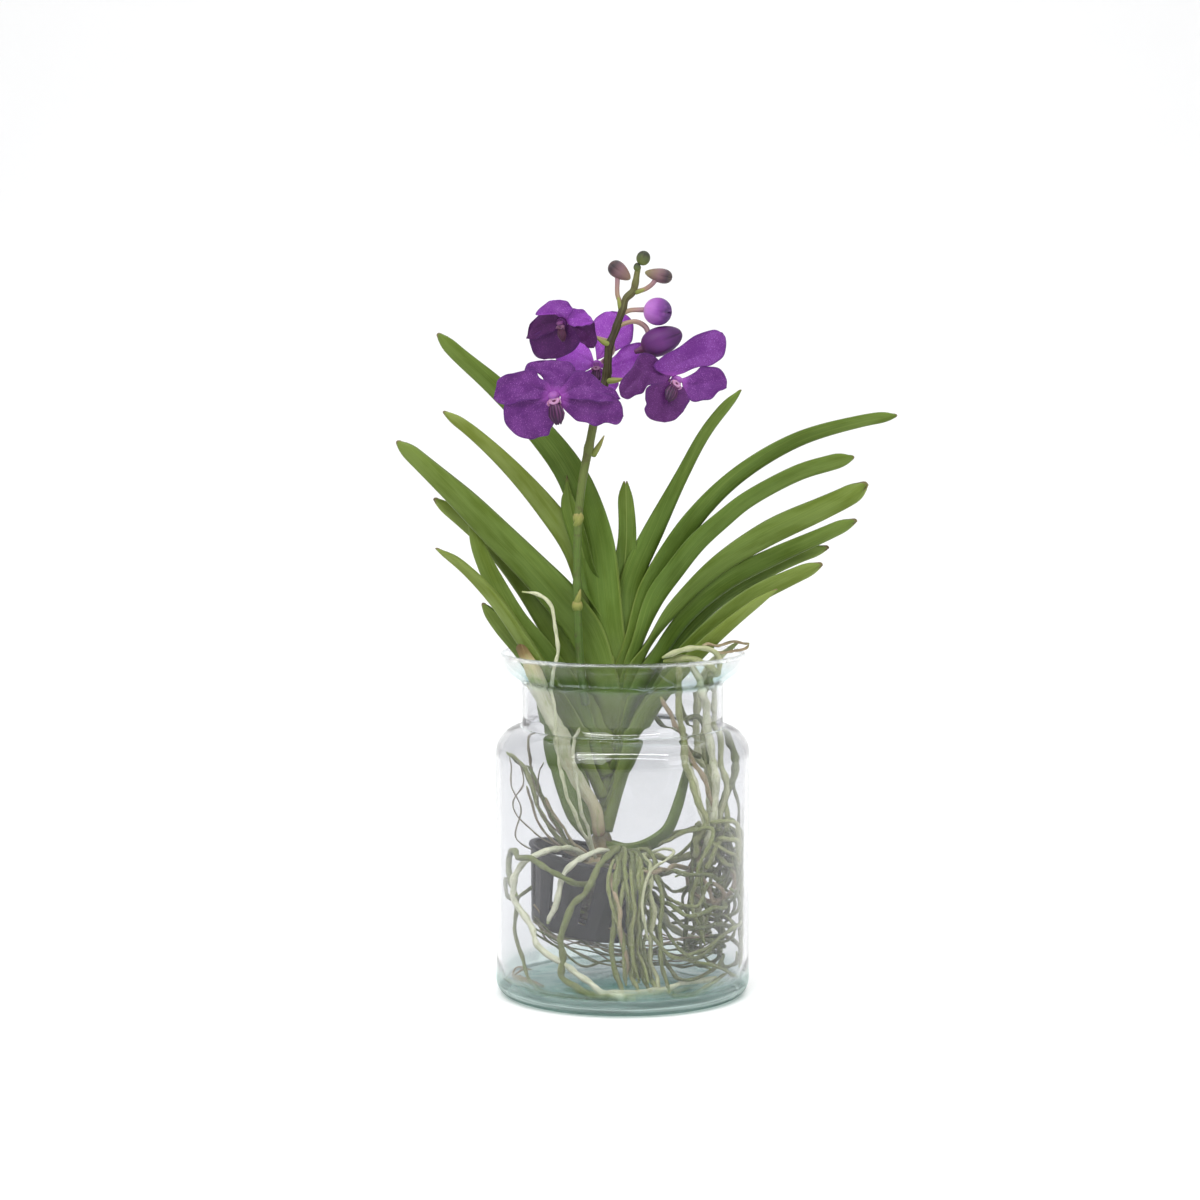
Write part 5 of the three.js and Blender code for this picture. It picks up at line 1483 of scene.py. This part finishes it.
# Roots that only the dressed plant has: radius, tint, then a few points.
NECK_ROOTS = [
    (2.7, 0.95, [(64, -16, 100), (63, -24, 126), (67, -28, 156), (62, -30, 190), (60, -32, 212),
     (48, -36, 246)]),
    (2.2, 0.86, [(66, -6, 96), (71, -18, 130), (74, -16, 154), (70, -14, 180), (67, -10, 224)]),
    (2.3, 0.76, [(52, -24, 104), (58, -33, 128), (52, -34, 144), (45, -34, 172), (42, -36, 200),
     (39, -40, 246)]),
    (2.4, 0.93, [(62, -24, 110), (58, -32, 128), (51, -31, 152), (44, -30, 188)]),
    (1.8, 0.22, [(66, -24, 136), (60, -30, 158), (48, -29, 184), (34, -27, 208), (27, -26, 220)]),
    (1.8, 0.5, [(56, 0, 178), (40, -6, 188), (30, 8, 194), (22, 16, 204)]),
    (1.9, 0.45, [(62, -22, 174), (60, -20, 192), (54, -16, 204), (44, -14, 202)]),
    (2.9, 0.56, [(66, 0, 116), (76, 3, 140), (82, 7, 168), (78, 10, 188)]),
    (1.4, 0.5, [(84, 6, 80), (88, 8, 118), (86, 8, 142), (80, 6, 160)]),
    (1.7, 0.7, [(60, -28, 96), (66, -28, 114), (76, -20, 132), (72, -12, 146)]),
]
RIM_ROOTS = [
    (1.9, 0.84, [(67, -20, 224), (68, -35, 248), (57, -39, 257), (40, -43, 255), (28, -44, 250)]),
    (1.1, 0.28, [(57, -39, 258), (66, -30, 257), (82, -2, 257), (92, 8, 255)]),
    (1.0, 0.24, [(66, -35, 252), (74, -18, 251), (84, -4, 251), (92, 8, 254)]),
]
DRY_ROOTS = [
    (1.5, 0.78, [CROWN, (-52, 6, 118), (-66, 8, 150), (-76, 10, 174), (-88, 10, 179)]),
    (1.4, 0.5, [CROWN, (-46, 2, 118), (-58, 4, 142), (-70, 4, 168)]),
    (1.1, 0.2, [CROWN, (-42, -6, 118), (-56, -4, 144)]),
    (1.0, 0.15, [CROWN, (-56, 0, 116), (-70, -2, 152)]),
    (0.6, 0.1, [CROWN, (-76, -10, 114), (-74, -10, 136), (-81, -10, 156), (-81, -10, 178)]),
    (0.6, 0.1, [CROWN, (-66, -10, 120), (-80, -11, 140), (-72, -10, 156), (-76, -8, 176)]),
    (0.6, 0.1, [CROWN, (-58, 0, 130), (-62, -2, 152), (-57, -5, 174)]),
    (1.3, 0.95, [CROWN, (-30, -26, 140), (-34, -32, 176), (-31, -36, 198)]),
    (1.3, 0.5, [(-76, -38, 72), (-85, -30, 78), (-84, -26, 88), (-76, -24, 84)]),
]
LOW_ROOTS = [
    (2.2, 0.95, [(-16, -74, 13), (14, -68, 14), (40, -58, 16), (66, -44, 19)]),
    (1.3, 0.62, [(34, -72, 12), (52, -64, 14), (74, -36, 20)]),
    (1.4, 0.6, [(18, -54, 70), (22, -58, 54), (38, -60, 36), (60, -48, 42), (86, -22, 56)]),
    (1.3, 0.58, [(38, -60, 37), (58, -56, 32), (80, -34, 18)]),
    (1.5, 0.64, [CROWN, (62, -40, 124), (52, -46, 94), (49, -48, 68), (58, -46, 44)]),
    (1.7, 0.6, [CROWN, (80, -12, 128), (87, -16, 100), (88, -18, 62), (85, -16, 20)]),
    (1.1, 0.88, [CROWN, (36, -44, 112), (21, -58, 100), (14, -66, 76), (17, -68, 52)]),
    (0.8, 0.2, [(-70, -36, 24), (-80, -22, 14), (-76, -20, 22), (-66, -20, 20)]),
    (1.2, 0.3, [(-66, -42, 14), (-80, -26, 14), (-68, -38, 14), (-56, -50, 13)]),
]
BUNDLE_TOP = (-10, 19)  # the bundle's sides over the basket's rim, and where it gathers near the floor
BUNDLE_FOOT = (2, 17)
COIL_COLUMN = (68, -8)
COIL_HEIGHTS = (28, 118)


def hanging_bundle(count=11, seed=21):
    """Roots that hang side by side over the basket's front and gather as they fall."""
    rnd = random.Random(seed)
    made = []
    for share in np.linspace(0, 1, count):
        top, foot = lerp(*BUNDLE_TOP, share), lerp(*BUNDLE_FOOT, share)
        depth = rnd.uniform(-60, -52)
        path = [CROWN, (0.5 * top, -20, rnd.uniform(102, 110)), (top, depth + 6, 92)]
        for height in (68, 44, 20):
            across = lerp(top, foot, (92 - height) / 72) + rnd.uniform(-4, 4)
            path.append((across, depth - rnd.uniform(0, 8), height + rnd.uniform(-4, 4)))
        made.append((rnd.uniform(1.2, 1.8), rnd.choice((0.24, 0.45, 0.55, 0.62, 0.7)), path))
    return made


def coiled_roots(count=20, seed=5):
    """Loose coils one above another on the right, inside the wall."""
    rnd = random.Random(seed)
    made = []
    for height in np.linspace(*COIL_HEIGHTS, count):
        x, y = COIL_COLUMN[0] + rnd.uniform(-13, 8), COIL_COLUMN[1] + rnd.uniform(-22, 22)
        size, start, sweep = rnd.uniform(8, 20), rnd.uniform(0.5, 5.5), rnd.uniform(3.0, 6.6)
        hung = (62 + rnd.uniform(-10, 14), rnd.uniform(-30, 8), 124)
        path = [hung, (lerp(hung[0], x, 0.4) + rnd.uniform(-12, 12), y, lerp(124, height, 0.5))]
        if rnd.random() < 0.3:
            path = [CROWN, (20, -46, 96), (36, lerp(-46, y, 0.5), lerp(96, height, 0.6))]
        for turn in np.linspace(start, start + sweep, 9):
            up = height + 0.85 * size * math.sin(turn)
            path.append((x + size * math.cos(turn), y + 11 * math.sin(0.7 * turn), up))
        made.append((rnd.uniform(1.1, 1.8), rnd.choice((0.4, 0.48, 0.56, 0.64, 0.76, 0.2)), path))
    return made


def pot_filling(count=7, seed=14):
    """Old dark roots wound round inside the pot."""
    rnd = random.Random(seed)
    made = []
    for height in np.linspace(58, 92, count):
        size, start = rnd.uniform(17, 30), rnd.uniform(0, 6.3)
        path = [CROWN]
        for turn in np.linspace(start, start + 5.2, 8):
            path.append((-22 + size * math.cos(turn), size * math.sin(turn), height + rnd.uniform(-4, 4)))
        made.append((rnd.uniform(2.0, 3.0), rnd.choice((0.02, 0.08, 0.4)), path))
    return made


def under_basket(count=16, seed=8):
    """Thin dry roots that sweep under the basket from left to right."""
    rnd = random.Random(seed)
    made = []
    for _ in range(count):
        low = rnd.uniform(24, 44)
        depth = rnd.uniform(-40, 20)
        path = [(-64, depth - 4, low + 26), (-50, depth - 6, low + 14 + rnd.uniform(-6, 6)),
                (-30, depth - 8, low + 8 + rnd.uniform(-6, 6)), (-8, depth - 8, low + 3 + rnd.uniform(-6, 6)),
                (16, depth - 4, low + rnd.uniform(-4, 4)), (44, depth * 0.7, low - 2 + rnd.uniform(-5, 5)),
                (66, depth * 0.4, low + rnd.uniform(-6, 12))]
        made.append((rnd.uniform(0.5, 0.9), rnd.choice((0.05, 0.12, 0.2, 0.45)), path))
    return made


def crooked(path, radius, seed):
    """The smooth line through a root's points, with the small kinks that real roots have."""
    line, _, length = even(through(path), max(int(np.ptp(np.array(path), axis=0).sum() / 3), 24))
    rnd = np.random.default_rng(seed)
    bumps = rnd.normal(0, 1, (max(int(length / 11), 3), 3))
    knots = np.linspace(0, 1, len(bumps))
    where = np.linspace(0, 1, len(line))
    ease = smooth(where, 0, 0.08) * (1 - smooth(where, 0.92, 1))
    sway = np.stack([np.interp(where, knots, bumps[:, k]) for k in range(3)], 1)
    return line + sway * (0.5 + 0.4 * radius) * ease[:, None]


def inside_vase(points, margin):
    """Keeps a line clear of the glass: pushed in from the wall and up from the floor."""
    p = np.array(points, float)
    reach = np.hypot(p[:, 0], p[:, 1])
    room = np.interp(p[:, 2], (172, 180, 187, 193), (89, 87, 80.5, NECK_RADIUS - GLASS)) - margin
    room = np.where(p[:, 2] > 236, 400, room)
    pull = np.minimum(1, room / np.maximum(reach, 1e-6))
    p[:, :2] *= pull[:, None]
    floor = BASE_THICKNESS + (BASE_DOME - BASE_THICKNESS) * (1 - smooth(reach, 8, 62))
    p[:, 2] = np.maximum(p[:, 2], floor + margin)
    return p


def root_radius(radius, seed):
    """An uneven radius that thins out at the root's tip."""
    rnd = random.Random(seed)
    a, b = rnd.uniform(0, 6.3), rnd.uniform(0, 6.3)

    def thick(along, share):
        lumps = 1 + 0.17 * np.sin(along / 3.1 + a) * np.sin(along / 7.7 + b) + 0.09 * np.sin(along / 1.7 + b)
        return radius * lumps * lerp(1, 0.5, smooth(share, 0.95, 1))

    return thick


def add_crown(skin):
    """The woody heart that all the roots grow from."""
    points, faces = turned_body(CROWN_PROFILE, 28)
    lumps = 1 + 0.05 * np.sin(points[:, 2] * 1.9 + 4 * np.arctan2(points[:, 1], points[:, 0]))
    points = points * np.stack([lumps, lumps, np.ones(len(points))], 1) + CROWN
    skin.add(points, faces, root=np.tile(CROWN_SKIN, (len(points), 1)), flat=points)


def roots():
    skin = Skin()
    every = [(r, tint, [CROWN, *path]) for r, tint, path in [*ROOTS, *bundle_roots(), *tangle_roots()]]
    every += NECK_ROOTS + RIM_ROOTS + DRY_ROOTS + LOW_ROOTS
    every += hanging_bundle() + coiled_roots() + pot_filling() + under_basket()
    for number, (radius, tint, path) in enumerate(every):
        line = inside_vase(crooked(path, radius, number), radius + 0.5)
        sides, step = (10, 1.5) if radius > THICK_ROOT else (7, 1.8)
        points, faces, t, along, turn = tube(line, root_radius(radius, number), sides, step)
        values = np.stack([np.full(len(t), tint), t, np.zeros(len(t))], 1)
        skin.add(points, faces, root=values, flat=flat_values(along, turn, radius, number * 5.3))
    add_crown(skin)
    skin.piece("aerial_roots", root_material(), "root_skin", "roots")


def stub_radius(along, share):
    lumps = 1 + 0.05 * np.sin(along / 6.1) + 0.03 * np.sin(along / 2.3)
    return lerp(4.2, 5.5, smooth(share, 0, 0.5)) * lumps


def stub_ribs(along, turn):
    ribs = 1 + 0.05 * np.cos(7 * turn[None] + 0.02 * along[:, None])
    return ribs + 0.03 * np.sin(along / 9)[:, None]


def stub():
    points, faces, t, along, turn = tube(through(STUB), stub_radius, 20, 1.2, wobble=stub_ribs)
    values = np.stack([np.zeros(len(t)), t, np.zeros(len(t))], 1)
    skin = Skin()
    skin.add(points, faces, root=values, flat=flat_values(along, turn, 4.4, 2.0))
    skin.piece("spike_stub", stub_material(), "dry_stub", "cut_stub")


# ------------------------------------------------------------------ assembly
add_camera()
add_lights()
add_world()
add_floor()
bpy.context.scene.view_settings.view_transform = "Standard"

vase()
basket()
roots()
stem()
stub()
leaves()
spike()
petal, lip = petal_material(), lip_material()
for number, spec in enumerate(FLOWERS):
    flower(spec, petal, number)
    lip_and_column(spec, lip)
for spec in BUDS:
    bud(*spec)
